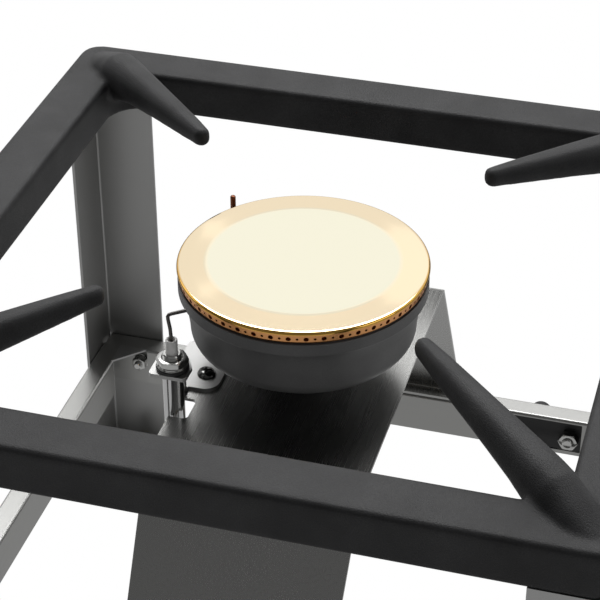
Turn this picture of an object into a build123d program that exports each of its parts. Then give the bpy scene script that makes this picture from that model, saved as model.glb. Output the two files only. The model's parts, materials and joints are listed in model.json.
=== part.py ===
from build123d import *
from math import cos, pi, radians, sin, sqrt, tan
import os

# Stock pot range: four angle legs, a ring of folded rails, a bent burner bridge that
# stands on the front and back rails, one ring burner and a lift-off cast grate.
# Millimetres. Origin on the floor at the middle of the four legs, +Z up, -Y is the front.

# ---------------------------------------------------------------- driving dimensions

FRAME_SIDE = 440.0           # outside of the legs, both ways
GRATE_TOP = 382.0            # top face of the grate's bars above the floor

LEG_FLANGE = 45.0
LEG_SHEET = 2.0
LEG_BEND = 3.5               # outside radius of the folded corner
LEG_CLEAR = 24.0             # bottom of the legs above the floor
SEAT_PLATE = 30.0            # square plate welded in the top of each leg
SEAT_SHEET = 3.0
FOOT_PLATE = 42.0
FOOT_PLATE_SHEET = 4.0
FOOT_INSET = 23.0            # foot axis from the outside of the leg

RAIL_TOP = 135.0
RAIL_WIDTH = 16.0
RAIL_OUTER_WEB = 42.0
RAIL_INNER_WEB = 30.0
RAIL_SHEET = 1.5
RAIL_BEND = 2.0              # outside radius of the rail's folds
GUSSET = 22.0                # short sides of the corner gusset

BOLT_INSET = 27.0            # corner bolt from the outside of the frame
BOLT_DROP = 21.0             # corner bolt below the rail's top
BOLT_R = 3.0
BOLT_HOLE_R = 3.3
BOLT_HEAD_R = 5.0
BOLT_HEAD = 4.0
BOLT_END = 3.0               # thread that stands out of the nut
NUT_FLATS = 10.0
NUT_HEIGHT = 5.0
WASHER_R = 6.5
WASHER = 1.2

WINDOW_LENGTH = 54.0         # access windows in the back rail's inner web
WINDOW_HEIGHT = 25.0
WINDOW_DROP = 2.5
WINDOW_OUTER_END = 152.0
STOP_PLATE_LENGTH = 60.0
STOP_PLATE_HEIGHT = 36.0
STOP_PLATE_SHEET = 3.0
STOP_BOLT_X = 142.0
STOP_BOLT_DROP = 24.0
STOP_BOLT_R = 4.0
STOP_BOLT_HEAD_R = 7.0
STOP_NUT_FLATS = 13.0
STOP_NUT_HEIGHT = 6.5
STOP_BOLT_HEAD = 5.0
STOP_BUFFER_X = 119.0
STOP_BUFFER_DROP = 9.0
STOP_BUFFER_R = 8.0
STOP_BUFFER_LENGTH = 14.0
STOP_STUD_R = 3.0

BRIDGE_DROP = 85.0           # bridge's upper face below the grate's top
BRIDGE_WIDTH = 128.0
BRIDGE_FOOT_WIDTH = 118.0
BRIDGE_FLAT = 216.0          # length of the level part, front to back
BRIDGE_SHEET = 2.0
BRIDGE_BEND = 5.0
BRIDGE_FOOT_BEND = 3.0
BRIDGE_HEEL_CLEAR = 1.0      # foot's outer end inside the rail's web
BRIDGE_FOOT = 14.0
BRIDGE_SCREW_X = 48.0
BRIDGE_SCREW_INSET = 9.4     # foot screw from the foot's outer end
BRIDGE_SCREW_R = 2.0
BRIDGE_SCREW_HEAD_R = 3.6
BRIDGE_SCREW_HEAD = 2.4
BRIDGE_NUT_FLATS = 7.0
BRIDGE_NUT = 3.2

GRATE_DEPTH = 28.0
GRATE_BAR = 34.0
GRATE_CORNER_R = 14.0
GRATE_INNER_R = 22.0
GRATE_EDGE_R = 3.0
GRATE_WALL = 7.0
GRATE_CORNER_SOLID = 62.0
FINGER_TIP_AT = 131.0        # tip from the grate's middle, along the diagonal
FINGER_TIP_WIDTH = 10.0
FINGER_TIP_DEPTH = 11.0
FINGER_TIP_RISE = 18.0       # above the bars' top
FINGER_ROOT_IN = 55.1        # from the frame's corner, along the diagonal
FINGER_ROOT_WIDTH = 24.0
FINGER_ROOT_DEPTH = 24.0
FINGER_ROOT_RISE = 14.0
FINGER_HEEL_IN = 13.1
FINGER_HEEL_RISE = 1.0
GRATE_LUG_R = 4.0
GRATE_LUG = 8.0
GRATE_LUG_CLEAR = 1.0

CAP_R = 75.0
CAP_DROP = 7.5               # upper edge of the cap below the grate's top
CAP_EDGE = 1.2
CAP_CROWN = 1.6              # crown above the edge
CAP_CROWN_R = 60.0
CAP_SPIGOT_R = 63.0
CAP_SPIGOT_WALL = 3.0
CAP_SPIGOT = 4.0
RING_HEIGHT = 6.3
RING_OUTER_R = 74.4
RING_FOOT_R = 73.6
RING_BORE_R = 63.1
RING_SPIGOT_R = 68.7
RING_SPIGOT = 4.0
PORT_COUNT = 46
PORT_R = 1.5
PILOT_PORT_R = 0.8
BOWL_COLLAR_R = 76.5
BOWL_COLLAR = 8.0
BOWL_R = 74.4
BOWL_FOOT_R = 73.2
BOWL_DEPTH = 43.5            # rim to underside
BOWL_ROUND = 15.0
BOWL_WALL = 5.0
BOWL_BORE_R = 69.0
NECK_R = 30.0
NECK_FOOT_R = 27.0
NECK_THREAD_R = 21.0
NECK_HOLE_CLEAR = 0.4
MIXER_BORE_R = 15.0
MIXER_LENGTH = 35.0          # below the bridge's upper face
LOCK_NUT_FLATS = 55.0
LOCK_NUT = 8.0
SHUTTER_WALL = 1.5
SHUTTER_HEIGHT = 14.0
SHUTTER_FIT = 0.08

ARM_SHEET = 2.5              # bracket of the electrode
ARM_LEFT = -74.8             # its left edge from the burner's axis
ARM_FOOT_RIGHT = -43.6
ARM_FOOT_FRONT = -40.5
ARM_FOOT_BACK = 6.0
ARM_FOOT_R = 9.0
ARM_FOOT_SMALL_R = 4.0
ARM_UPRIGHT_LEFT = -72.5
ARM_UPRIGHT_RIGHT = -61.0
ARM_UPRIGHT_Y = -45.5        # front face of the upright
ARM_BEND = 2.0
ARM_RISE = 30.0              # tab's upper face above the bridge
TAB_FRONT = -69.5
TAB_RIGHT = -51.8
TAB_CORNER_R = 2.5
TAB_CUT_X = 5.6              # corner cut off the tab beside the burner
TAB_CUT_Y = 9.3
ARM_SCREW_X = -54.0
ARM_SCREW_Y = -25.6
ARM_SCREW_R = 3.0
ARM_SCREW_HEAD_R = 5.7
ARM_SCREW_HEAD = 3.4
ARM_SCREW_SLOT = 6.0
PLATE_SHEET = 2.0            # bracket of the thermocouple
RIVET_R = 2.5
RIVET_HEAD_R = 4.8

ELECTRODE_X = -62.7          # from the burner's axis
ELECTRODE_Y = -60.3
ELECTRODE_THREAD_R = 5.8
ELECTRODE_NUT_FLATS = 17.0
ELECTRODE_NUT = 4.0
ELECTRODE_WASHER_R = 9.0
ELECTRODE_WASHER = 1.6
FIBRE_WASHER_R = 9.8         # under the steel washer
FIBRE_WASHER = 2.6
ELECTRODE_COLLAR_RISE = 11.0
INSULATOR_R = 3.6
INSULATOR_RISE = 20.5        # ceramic above the bracket's tab
WIRE_R = 1.25
WIRE_RISE_ABOVE = 16.5       # bend of the wire above the ceramic
WIRE_BEND_R = 2.6
WIRE_LEAN = (-1.5, -1.0)
WIRE_TURN = (6.0, 4.0, 1.0)
COLLAR_IN_TUBE = 16.0
TUBE_R = 6.35
TUBE_WALL = 0.5
TUBE_LENGTH = 64.0
NOTCH_DEPTH = 11.5           # cut in the bridge's left edge for the tube
NOTCH_LENGTH = 19.5
NOTCH_BEHIND = 11.5          # notch's back end from the tube's axis
NOTCH_CORNER_R = 3.0

SENSOR_X = -61.4             # thermocouple from the burner's axis
SENSOR_Y = 56.3
SENSOR_TIP_R = 1.7
SENSOR_TIP = 20.0
SENSOR_TIP_DROP = 5.0        # below the grate's top
SENSOR_SHELF_TOP = 326.0
SENSOR_SHELF_END = -72.0
SENSOR_UPRIGHT_X = -51.0
SENSOR_FOOT_END = -32.0
SENSOR_FOOT_SCREW_X = -41.0
SENSOR_PLATE_WIDTH = 18.0
SENSOR_THREAD_UP = 7.0
SENSOR_BODY_R = 2.6
SENSOR_THREAD_R = 3.9
SENSOR_THREAD = 15.0
SENSOR_NUT_FLATS = 11.0
SENSOR_NUT = 4.0
LEAD_R = 1.3
IGNITION_LEAD_R = 2.4

INJECTOR_GAP = 12.0          # injector's tip below the mixing tube
INJECTOR_FLATS = 13.0
INJECTOR_HEX = 7.0
INJECTOR_NOSE = 11.0
INJECTOR_THREAD_R = 4.5
INJECTOR_THREAD = 14.0
INJECTOR_ORIFICE_R = 0.9
HOLDER_FLATS = 19.0
HOLDER_LENGTH = 22.0
HOLDER_STEM_R = 6.0
HOLDER_STEM = 20.0
CRADLE_WIDTH = 34.0
CRADLE_EAR = 35.0            # outside of the bracket's legs from the burner's axis
CRADLE_SHEET = 2.0

PANEL_WIDTH = 200.0
PANEL_TOP = 133.0
PANEL_BOTTOM = 50.0
PANEL_SHEET = 1.5
PANEL_FLANGE = 16.0
PANEL_BEND = 2.5
PANEL_SCREW_X = 86.0
PANEL_SCREW_DROP = 15.0
PANEL_SCREW_R = 2.0
CONTROL_Z = 74.0
VALVE_X = -40.0
VALVE_R = 13.0
VALVE_LENGTH = 46.0
VALVE_NECK_R = 8.0
VALVE_NECK = 4.0             # in front of the panel's outer face
VALVE_OUTLET_RISE = 27.0
VALVE_OUTLET_AT = 30.0       # behind the panel
VALVE_OUTLET_R = 7.0
VALVE_OUTLET = 8.0
VALVE_INLET_AT = 26.0
VALVE_INLET = 9.0
VALVE_INLET_R = 8.5
INLET_PIPE_NUT_FLATS = 19.0
PANEL_NUT_FLATS = 22.0
PANEL_NUT = 3.0
MAGNET_R = 8.0
MAGNET_LENGTH = 14.0
PORT_BORE_R = 3.0
SPINDLE_R = 4.0
SPINDLE_FLAT = 2.6           # flat of the D shaft from its axis
SPINDLE_IN = 14.0
SPINDLE_END = 6.0            # short of the knob's front face
SPINDLE_FLAT_LENGTH = 13.0
SPINDLE_FIT = 0.06
KNOB_OUT = 28.5              # knob's front face in front of the panel
KNOB_R = 21.0
KNOB_SKIRT_R = 24.0
KNOB_SKIRT = 6.0
KNOB_GAP = 5.0               # knob's skirt in front of the panel
KNOB_PUSH = 3.0
KNOB_GRIP_WIDTH = 11.0
KNOB_GRIP_DEPTH = 11.0
KNOB_RECESS_R = 14.5
KNOB_RECESS = 5.0
COLLAR_R = 9.0               # washer that the return spring pushes against the knob
COLLAR_SHEET = 1.8
COLLAR_GAP = 0.4
IGNITER_X = 45.0
IGNITER_R = 9.0
IGNITER_LENGTH = 34.0        # behind the panel
IGNITER_BEZEL_R = 12.5
IGNITER_BEZEL = 3.5
IGNITER_NUT_FLATS = 24.0
IGNITER_NUT = 4.0
BUTTON_R = 6.5
BUTTON_OUT = 7.0
BUTTON_STEM = 12.0
BUTTON_FIT = 0.1
BUTTON_PUSH = 5.0
IGNITER_TAB_R = 2.4
IGNITER_TAB = 6.0

PIPE_R = 4.0
PIPE_WALL = 0.8
PIPE_BEND_R = 20.0
PIPE_OUT = 45.0              # straight run out of the valve, to the middle of the bend
PIPE_IN = 42.0               # straight run into the injector's holder
PIPE_NUT_FLATS = 14.0
PIPE_NUT = 10.0
INLET_X = -96.0
INLET_PIPE_R = 6.0
INLET_BEND_R = 22.0
INLET_OUT = 28.0             # end of the thread outside the frame
INLET_THREAD_R = 10.48
INLET_BORE_R = 7.5
INLET_SHANK_R = 9.0
INLET_SHANK = 14.0
INLET_FLATS = 27.0
INLET_HEX = 8.0
INLET_NUT_FLATS = 24.0
INLET_NUT = 5.0
INLET_TONGUE_WIDTH = 50.0
INLET_TONGUE_BOTTOM = 52.0

FOOT_STUD_R = 5.0
FOOT_STUD = 34.0
FOOT_FIT = 0.06
FOOT_PAD_R = 19.0
FOOT_PAD = 9.0
FOOT_HUB_R = 11.0
FOOT_HUB = 7.0
FOOT_NUT_FLATS = 17.0
FOOT_NUT = 6.0
FOOT_TRAVEL = 15.0

SEAT_GAP = 0.3               # between pieces that part when the range is used

# ---------------------------------------------------------------- worked-out levels

HALF = FRAME_SIDE / 2
LEG_IN = HALF - LEG_SHEET
RAIL_IN = LEG_IN - RAIL_WIDTH
GRATE_UNDER = GRATE_TOP - GRATE_DEPTH
LEG_TOP = GRATE_UNDER - SEAT_GAP
LEG_BOTTOM = LEG_CLEAR
FOOT_AT = HALF - FOOT_INSET
BOLT_AT = HALF - BOLT_INSET
BRIDGE_HEEL = LEG_IN - BRIDGE_HEEL_CLEAR
BRIDGE_TOE = BRIDGE_HEEL - BRIDGE_FOOT
BRIDGE_SCREW_AT = BRIDGE_HEEL - BRIDGE_SCREW_INSET
KNOB_FRONT = LEG_IN + PANEL_SHEET + KNOB_OUT
INLET_END = HALF + INLET_OUT
BOLT_Z = RAIL_TOP - BOLT_DROP
BRIDGE_TOP = GRATE_TOP - BRIDGE_DROP
BRIDGE_UNDER = BRIDGE_TOP - BRIDGE_SHEET
CAP_EDGE_Z = GRATE_TOP - CAP_DROP
RING_TOP = CAP_EDGE_Z - CAP_EDGE
RIM_Z = RING_TOP - RING_HEIGHT
BOWL_UNDER = RIM_Z - BOWL_DEPTH
TAB_TOP = BRIDGE_TOP + ARM_RISE
TAB_UNDER = TAB_TOP - ARM_SHEET
PANEL_SCREW_Z = PANEL_TOP - PANEL_SCREW_DROP
MIXER_END = BRIDGE_TOP - MIXER_LENGTH
INJECTOR_TIP = MIXER_END - INJECTOR_GAP
CRADLE_TOP = INJECTOR_TIP - INJECTOR_NOSE - INJECTOR_HEX
HOLDER_BOTTOM = CRADLE_TOP - CRADLE_SHEET - HOLDER_LENGTH
TIE = sqrt(0.5)              # unit step along a diagonal
FINGER_ROOT_AT = HALF / TIE - FINGER_ROOT_IN
FINGER_HEEL_AT = HALF / TIE - FINGER_HEEL_IN

def corner_signs():
    return [("front_left", -1, -1), ("front_right", 1, -1), ("back_left", -1, 1), ("back_right", 1, 1)]


def save(piece, name):
    piece.label = name
    export_step(piece, f"parts/{name}.step")


os.makedirs("parts", exist_ok=True)

# ---------------------------------------------------------------- frame

for corner, sx, sy in corner_signs():
    with BuildPart() as leg:
        with BuildSketch(Plane.XY.offset(LEG_BOTTOM)):
            with BuildLine():
                Polyline(
                    (sx * HALF, sy * HALF),
                    (sx * (HALF - LEG_FLANGE), sy * HALF),
                    (sx * (HALF - LEG_FLANGE), sy * LEG_IN),
                    (sx * LEG_IN, sy * LEG_IN),
                    (sx * LEG_IN, sy * (HALF - LEG_FLANGE)),
                    (sx * HALF, sy * (HALF - LEG_FLANGE)),
                    close=True,
                )
            make_face()
        extrude(amount=LEG_TOP - LEG_BOTTOM)
        upright = leg.edges().filter_by(Axis.Z)
        fillet(upright.sort_by_distance((sx * HALF, sy * HALF))[0], LEG_BEND)
        inside = leg.edges().filter_by(Axis.Z).sort_by_distance((sx * LEG_IN, sy * LEG_IN))[0]
        fillet(inside, LEG_BEND - LEG_SHEET)
        # seat for the grate and nut plate for the foot, welded into the angle
        with BuildSketch(Plane.XY.offset(LEG_TOP - SEAT_SHEET)):
            with Locations((sx * (LEG_IN - SEAT_PLATE / 2), sy * (LEG_IN - SEAT_PLATE / 2))):
                Rectangle(SEAT_PLATE, SEAT_PLATE)
            with Locations((sx * FOOT_AT, sy * FOOT_AT)):
                Circle(GRATE_LUG_R + GRATE_LUG_CLEAR, mode=Mode.SUBTRACT)
        extrude(amount=SEAT_SHEET)
        with BuildSketch(Plane.XY.offset(LEG_BOTTOM)):
            with Locations((sx * (LEG_IN - FOOT_PLATE / 2), sy * (LEG_IN - FOOT_PLATE / 2))):
                Rectangle(FOOT_PLATE, FOOT_PLATE)
            with Locations((sx * FOOT_AT, sy * FOOT_AT)):
                Circle(FOOT_STUD_R + FOOT_FIT, mode=Mode.SUBTRACT)
        extrude(amount=FOOT_PLATE_SHEET)
        with BuildSketch(Plane.XZ.offset(-sy * LEG_IN)):
            with Locations((sx * BOLT_AT, BOLT_Z)):
                Circle(BOLT_HOLE_R)
        extrude(amount=-sy * LEG_SHEET, mode=Mode.SUBTRACT)
        with BuildSketch(Plane.YZ.offset(sx * LEG_IN)):
            with Locations((sy * BOLT_AT, BOLT_Z)):
                Circle(BOLT_HOLE_R)
        extrude(amount=sx * LEG_SHEET, mode=Mode.SUBTRACT)
    save(leg.part, f"leg_{corner}")


def folded(plane, points, sheet, bend, side=Side.LEFT):
    """Section of a folded sheet, drawn from its outer face."""
    with BuildSketch(plane) as section:
        with BuildLine():
            FilletPolyline(*points, radius=bend)
            offset(amount=sheet, side=side)
        make_face()
    return section.sketch


RAIL_FACE = [
    (LEG_IN, RAIL_TOP - RAIL_OUTER_WEB),
    (LEG_IN, RAIL_TOP),
    (RAIL_IN, RAIL_TOP),
    (RAIL_IN, RAIL_TOP - RAIL_INNER_WEB),
]
CORNER_AT = RAIL_IN + RAIL_BEND          # edge of the flange where the inner web is cut away
GUSSET_AT = CORNER_AT - GUSSET
LONG_HALF = LEG_IN - RAIL_BEND
UNDER_FLANGE = RAIL_TOP - RAIL_SHEET
STOP_PLATE_AT = LEG_IN - RAIL_SHEET
STOP_XS = (-STOP_BOLT_X, STOP_BOLT_X)

# front and back rails run the full width, the side rails butt against them
for name, turn, half in (("back", 0, LONG_HALF), ("front", 180, LONG_HALF), ("left", 90, CORNER_AT), ("right", -90, CORNER_AT)):
    out = Vector(0, 1, 0).rotate(Axis.Z, turn)
    along = Vector(-1, 0, 0).rotate(Axis.Z, turn)
    section = Plane(origin=along * -half, x_dir=out, z_dir=along)
    web_plane = Plane(origin=out * LEG_IN, x_dir=along, z_dir=out)
    inner_plane = Plane(origin=out * (RAIL_IN - 1), x_dir=along, z_dir=out)
    up = 1 if section.y_dir.Z > 0 else -1
    with BuildPart() as rail:
        face = [(a, up * b) for a, b in RAIL_FACE]
        extrude(folded(section, face, RAIL_SHEET, RAIL_BEND, Side.LEFT if up > 0 else Side.RIGHT), amount=2 * half)
        # the inner web and its fold stop short of the corner gussets
        cut = half - GUSSET_AT
        with BuildSketch(inner_plane):
            for end in (-1, 1):
                with Locations((end * (half - cut / 2), inner_plane.y_dir.Z * (RAIL_TOP - RAIL_INNER_WEB / 2))):
                    Rectangle(cut, RAIL_INNER_WEB)
        extrude(amount=1 + RAIL_BEND, mode=Mode.SUBTRACT)
        with BuildSketch(web_plane):
            with Locations(*[(end * BOLT_AT, web_plane.y_dir.Z * BOLT_Z) for end in (-1, 1)]):
                Circle(BOLT_HOLE_R)
        extrude(amount=-2 * RAIL_SHEET, mode=Mode.SUBTRACT)
        if name in ("front", "back"):
            seat = Plane.XY.offset(RAIL_TOP)
            with BuildSketch(seat):
                with Locations(*[(x, out.Y * BRIDGE_SCREW_AT) for x in (-BRIDGE_SCREW_X, BRIDGE_SCREW_X)]):
                    Circle(BRIDGE_SCREW_R + 0.2)
            extrude(amount=-2 * RAIL_SHEET, mode=Mode.SUBTRACT)
        if name == "front":
            with BuildSketch(web_plane):
                with Locations(*[(x, web_plane.y_dir.Z * PANEL_SCREW_Z) for x in (-PANEL_SCREW_X, PANEL_SCREW_X)]):
                    Circle(PANEL_SCREW_R + 0.2)
            extrude(amount=-2 * RAIL_SHEET, mode=Mode.SUBTRACT)
        if name == "back":
            # access windows, holes of the wall stops, and the tongue that carries the gas inlet
            window_x = WINDOW_OUTER_END - WINDOW_LENGTH / 2
            window_z = RAIL_TOP - WINDOW_DROP - WINDOW_HEIGHT / 2
            with BuildSketch(Plane.XZ.offset(-RAIL_IN + 1)):
                with Locations((-window_x, window_z), (window_x, window_z)):
                    RectangleRounded(WINDOW_LENGTH, WINDOW_HEIGHT, 1.0)
            extrude(amount=-1 - RAIL_SHEET - 0.6, mode=Mode.SUBTRACT)
            with BuildSketch(Plane.XZ.offset(-LEG_IN)):
                for sx in (-1, 1):
                    with Locations((sx * STOP_BOLT_X, RAIL_TOP - STOP_BOLT_DROP)):
                        Circle(STOP_BOLT_R + 0.3)
                    with Locations((sx * STOP_BUFFER_X, RAIL_TOP - STOP_BUFFER_DROP)):
                        Circle(STOP_STUD_R + 0.3)
            extrude(amount=2 * RAIL_SHEET, mode=Mode.SUBTRACT)
            with BuildSketch(Plane.XZ.offset(-LEG_IN)):
                tongue_top = RAIL_TOP - RAIL_OUTER_WEB + 1
                with Locations((INLET_X, (tongue_top + INLET_TONGUE_BOTTOM) / 2)):
                    Rectangle(INLET_TONGUE_WIDTH, tongue_top - INLET_TONGUE_BOTTOM)
                with Locations((INLET_X, CONTROL_Z)):
                    Circle(INLET_SHANK_R + 0.2, mode=Mode.SUBTRACT)
            extrude(amount=RAIL_SHEET)
            low = rail.edges().filter_by(Axis.Y).group_by(Axis.Z)[0]
            fillet(low, 6.0)
    save(rail.part, f"rail_{name}")

with BuildPart() as corner_gussets:
    with BuildSketch(Plane.XY.offset(UNDER_FLANGE)):
        for corner, sx, sy in corner_signs():
            with BuildLine():
                Polyline(
                    (sx * CORNER_AT, sy * CORNER_AT),
                    (sx * GUSSET_AT, sy * CORNER_AT),
                    (sx * CORNER_AT, sy * GUSSET_AT),
                    close=True,
                )
            make_face()
    extrude(amount=RAIL_SHEET)
save(corner_gussets.part, "corner_gussets")

# corner bolts: two to a corner, one through each flange of the angle
BOLT_SPOTS = []
for turn in (0, 90, 180, 270):
    for x in (-BOLT_AT, BOLT_AT):
        face = Vector(x, LEG_IN - RAIL_SHEET, BOLT_Z).rotate(Axis.Z, turn)
        inward = Vector(0, -1, 0).rotate(Axis.Z, turn)
        BOLT_SPOTS.append(Plane(origin=face, x_dir=(0, 0, 1), z_dir=inward))

with BuildPart() as frame_bolts:
    for spot in BOLT_SPOTS:
        with BuildSketch(spot.offset(-RAIL_SHEET - LEG_SHEET)):
            Circle(BOLT_R)
        extrude(amount=RAIL_SHEET + LEG_SHEET + WASHER + NUT_HEIGHT + BOLT_END)
        with BuildSketch(spot.offset(-RAIL_SHEET - LEG_SHEET - BOLT_HEAD)):
            Circle(BOLT_HEAD_R)
        extrude(amount=BOLT_HEAD)
    rims = frame_bolts.edges().filter_by(GeomType.CIRCLE).filter_by(lambda e: abs(e.radius - BOLT_HEAD_R) < 0.01)
    outer = [e for e in rims if max(abs(e.center().X), abs(e.center().Y)) > HALF + BOLT_HEAD / 2]
    fillet(outer, BOLT_HEAD * 0.55)
save(frame_bolts.part, "frame_bolts")

with BuildPart() as frame_nuts:
    for spot in BOLT_SPOTS:
        with BuildSketch(spot):
            Circle(WASHER_R)
            Circle(BOLT_R, mode=Mode.SUBTRACT)
        extrude(amount=WASHER)
        with BuildSketch(spot.offset(WASHER)):
            RegularPolygon(NUT_FLATS / 2, 6, major_radius=False)
            Circle(BOLT_R, mode=Mode.SUBTRACT)
        extrude(amount=NUT_HEIGHT)
save(frame_nuts.part, "frame_nuts")

# ---------------------------------------------------------------- wall stops

STOP_SEAT = STOP_PLATE_AT - STOP_PLATE_SHEET
with BuildPart() as stop_plates:
    with BuildSketch(Plane.XZ.offset(-STOP_SEAT)):
        for sx in (-1, 1):
            with Locations((sx * (WINDOW_OUTER_END - WINDOW_LENGTH / 2), UNDER_FLANGE - 0.5 - STOP_PLATE_HEIGHT / 2)):
                RectangleRounded(STOP_PLATE_LENGTH, STOP_PLATE_HEIGHT, 3.0)
            with Locations((sx * STOP_BOLT_X, RAIL_TOP - STOP_BOLT_DROP)):
                Circle(STOP_BOLT_R + 0.3, mode=Mode.SUBTRACT)
            with Locations((sx * STOP_BUFFER_X, RAIL_TOP - STOP_BUFFER_DROP)):
                Circle(STOP_STUD_R, mode=Mode.SUBTRACT)
    extrude(amount=-STOP_PLATE_SHEET)
save(stop_plates.part, "stop_plates")

with BuildPart() as stop_bolts:
    for x in STOP_XS:
        with BuildSketch(Plane.XZ.offset(-LEG_IN)):
            with Locations((x, RAIL_TOP - STOP_BOLT_DROP)):
                Circle(STOP_BOLT_HEAD_R)
        extrude(amount=-STOP_BOLT_HEAD)
    fillet(stop_bolts.edges().group_by(Axis.Y)[-1], STOP_BOLT_HEAD * 0.6)
    for x in STOP_XS:
        with BuildSketch(Plane.XZ.offset(-LEG_IN)):
            with Locations((x, RAIL_TOP - STOP_BOLT_DROP)):
                Circle(STOP_BOLT_R)
        extrude(amount=LEG_IN - STOP_SEAT + STOP_NUT_HEIGHT + 2.0)
save(stop_bolts.part, "stop_bolts")

with BuildPart() as stop_nuts:
    with BuildSketch(Plane.XZ.offset(-STOP_SEAT)):
        for x in STOP_XS:
            with Locations((x, RAIL_TOP - STOP_BOLT_DROP)):
                RegularPolygon(STOP_NUT_FLATS / 2, 6, major_radius=False)
                Circle(STOP_BOLT_R, mode=Mode.SUBTRACT)
    extrude(amount=STOP_NUT_HEIGHT)
save(stop_nuts.part, "stop_nuts")

with BuildPart() as wall_stops:
    for sx in (-1, 1):
        with BuildSketch(Plane.XZ.offset(-LEG_IN)):
            with Locations((sx * STOP_BUFFER_X, RAIL_TOP - STOP_BUFFER_DROP)):
                Circle(STOP_BUFFER_R)
        extrude(amount=-STOP_BUFFER_LENGTH, taper=4.0)
    fillet(wall_stops.edges().group_by(Axis.Y)[-1], 3.5)
    for sx in (-1, 1):
        with BuildSketch(Plane.XZ.offset(-LEG_IN)):
            with Locations((sx * STOP_BUFFER_X, RAIL_TOP - STOP_BUFFER_DROP)):
                Circle(STOP_STUD_R)
        extrude(amount=RAIL_SHEET + STOP_PLATE_SHEET + 1.0)
save(wall_stops.part, "wall_stops")

# ---------------------------------------------------------------- burner bridge

with BuildPart() as burner_bridge:
    bridge_face = [
        (-BRIDGE_TOE, RAIL_TOP),
        (-BRIDGE_HEEL, RAIL_TOP),
        (-BRIDGE_FLAT / 2, BRIDGE_TOP),
        (BRIDGE_FLAT / 2, BRIDGE_TOP),
        (BRIDGE_HEEL, RAIL_TOP),
        (BRIDGE_TOE, RAIL_TOP),
    ]
    bridge_bends = [BRIDGE_FOOT_BEND, BRIDGE_BEND, BRIDGE_BEND, BRIDGE_FOOT_BEND]
    left_edge = Plane.YZ.offset(-BRIDGE_WIDTH / 2)
    extrude(folded(left_edge, bridge_face, BRIDGE_SHEET, bridge_bends, Side.RIGHT), amount=BRIDGE_WIDTH)
    # the sloping legs narrow towards their feet
    with BuildSketch(Plane.XZ):
        for sx in (-1, 1):
            with BuildLine():
                Polyline(
                    (sx * BRIDGE_WIDTH / 2, BRIDGE_UNDER),
                    (sx * BRIDGE_WIDTH / 2, RAIL_TOP),
                    (sx * BRIDGE_FOOT_WIDTH / 2, RAIL_TOP),
                    close=True,
                )
            make_face()
    extrude(amount=HALF, both=True, mode=Mode.SUBTRACT)
    # hole for the burner's neck, notches for the electrode's tube and the sensor, screw holes
    notch_x = -BRIDGE_WIDTH / 2 + NOTCH_DEPTH / 2
    notch_y = ELECTRODE_Y + NOTCH_BEHIND - NOTCH_LENGTH / 2
    with BuildSketch(Plane.XY.offset(BRIDGE_TOP)):
        Circle(NECK_THREAD_R + NECK_HOLE_CLEAR)
        with Locations((notch_x, notch_y), (notch_x, -notch_y)):
            Rectangle(NOTCH_DEPTH, NOTCH_LENGTH)
        with Locations((SENSOR_FOOT_SCREW_X, SENSOR_Y)):
            Circle(RIVET_R)
        with Locations((ARM_SCREW_X, ARM_SCREW_Y)):
            Circle(ARM_SCREW_R)
    extrude(amount=-2 * BRIDGE_SHEET, mode=Mode.SUBTRACT)
    notch_corners = burner_bridge.edges().filter_by(Axis.Z).filter_by(
        lambda e: abs(e.center().X + BRIDGE_WIDTH / 2 - NOTCH_DEPTH) < 0.1
    )
    fillet(notch_corners, NOTCH_CORNER_R)
    with BuildSketch(Plane.XY.offset(RAIL_TOP)):
        for sy in (-1, 1):
            with Locations((-BRIDGE_SCREW_X, sy * BRIDGE_SCREW_AT), (BRIDGE_SCREW_X, sy * BRIDGE_SCREW_AT)):
                Circle(BRIDGE_SCREW_R + 0.2)
    extrude(amount=BRIDGE_SHEET + 0.5, mode=Mode.SUBTRACT)
save(burner_bridge.part, "burner_bridge")

FOOT_SCREWS = [(x, y * BRIDGE_SCREW_AT) for x in (-BRIDGE_SCREW_X, BRIDGE_SCREW_X) for y in (-1, 1)]
with BuildPart() as bridge_screws:
    with BuildSketch(Plane.XY.offset(RAIL_TOP + BRIDGE_SHEET)):
        with Locations(*FOOT_SCREWS):
            Circle(BRIDGE_SCREW_HEAD_R)
    extrude(amount=BRIDGE_SCREW_HEAD)
    fillet(bridge_screws.edges().group_by(Axis.Z)[-1], BRIDGE_SCREW_HEAD * 0.55)
    with BuildSketch(Plane.XY.offset(RAIL_TOP + BRIDGE_SHEET)):
        with Locations(*FOOT_SCREWS):
            Circle(BRIDGE_SCREW_R)
    extrude(amount=-BRIDGE_SHEET - RAIL_SHEET - BRIDGE_NUT - 2.0)
save(bridge_screws.part, "bridge_screws")

with BuildPart() as bridge_nuts:
    with BuildSketch(Plane.XY.offset(UNDER_FLANGE)):
        with Locations(*FOOT_SCREWS):
            RegularPolygon(BRIDGE_NUT_FLATS / 2, 6, major_radius=False)
            Circle(BRIDGE_SCREW_R, mode=Mode.SUBTRACT)
    extrude(amount=-BRIDGE_NUT)
save(bridge_nuts.part, "bridge_nuts")

# ---------------------------------------------------------------- grate


def finger_plane(at, z):
    """Plane square to the front left diagonal, seen from the middle of the grate."""
    return Plane(origin=(at * TIE, at * TIE, z), x_dir=(-TIE, TIE, 0), z_dir=(TIE, TIE, 0))


def finger_section(at, ridge, base, top, bottom):
    with BuildSketch(finger_plane(at, GRATE_TOP)) as section:
        with BuildLine():
            Polyline((-base / 2, bottom), (-ridge / 2, top), (ridge / 2, top), (base / 2, bottom), close=True)
        make_face()
    return section.sketch


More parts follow.
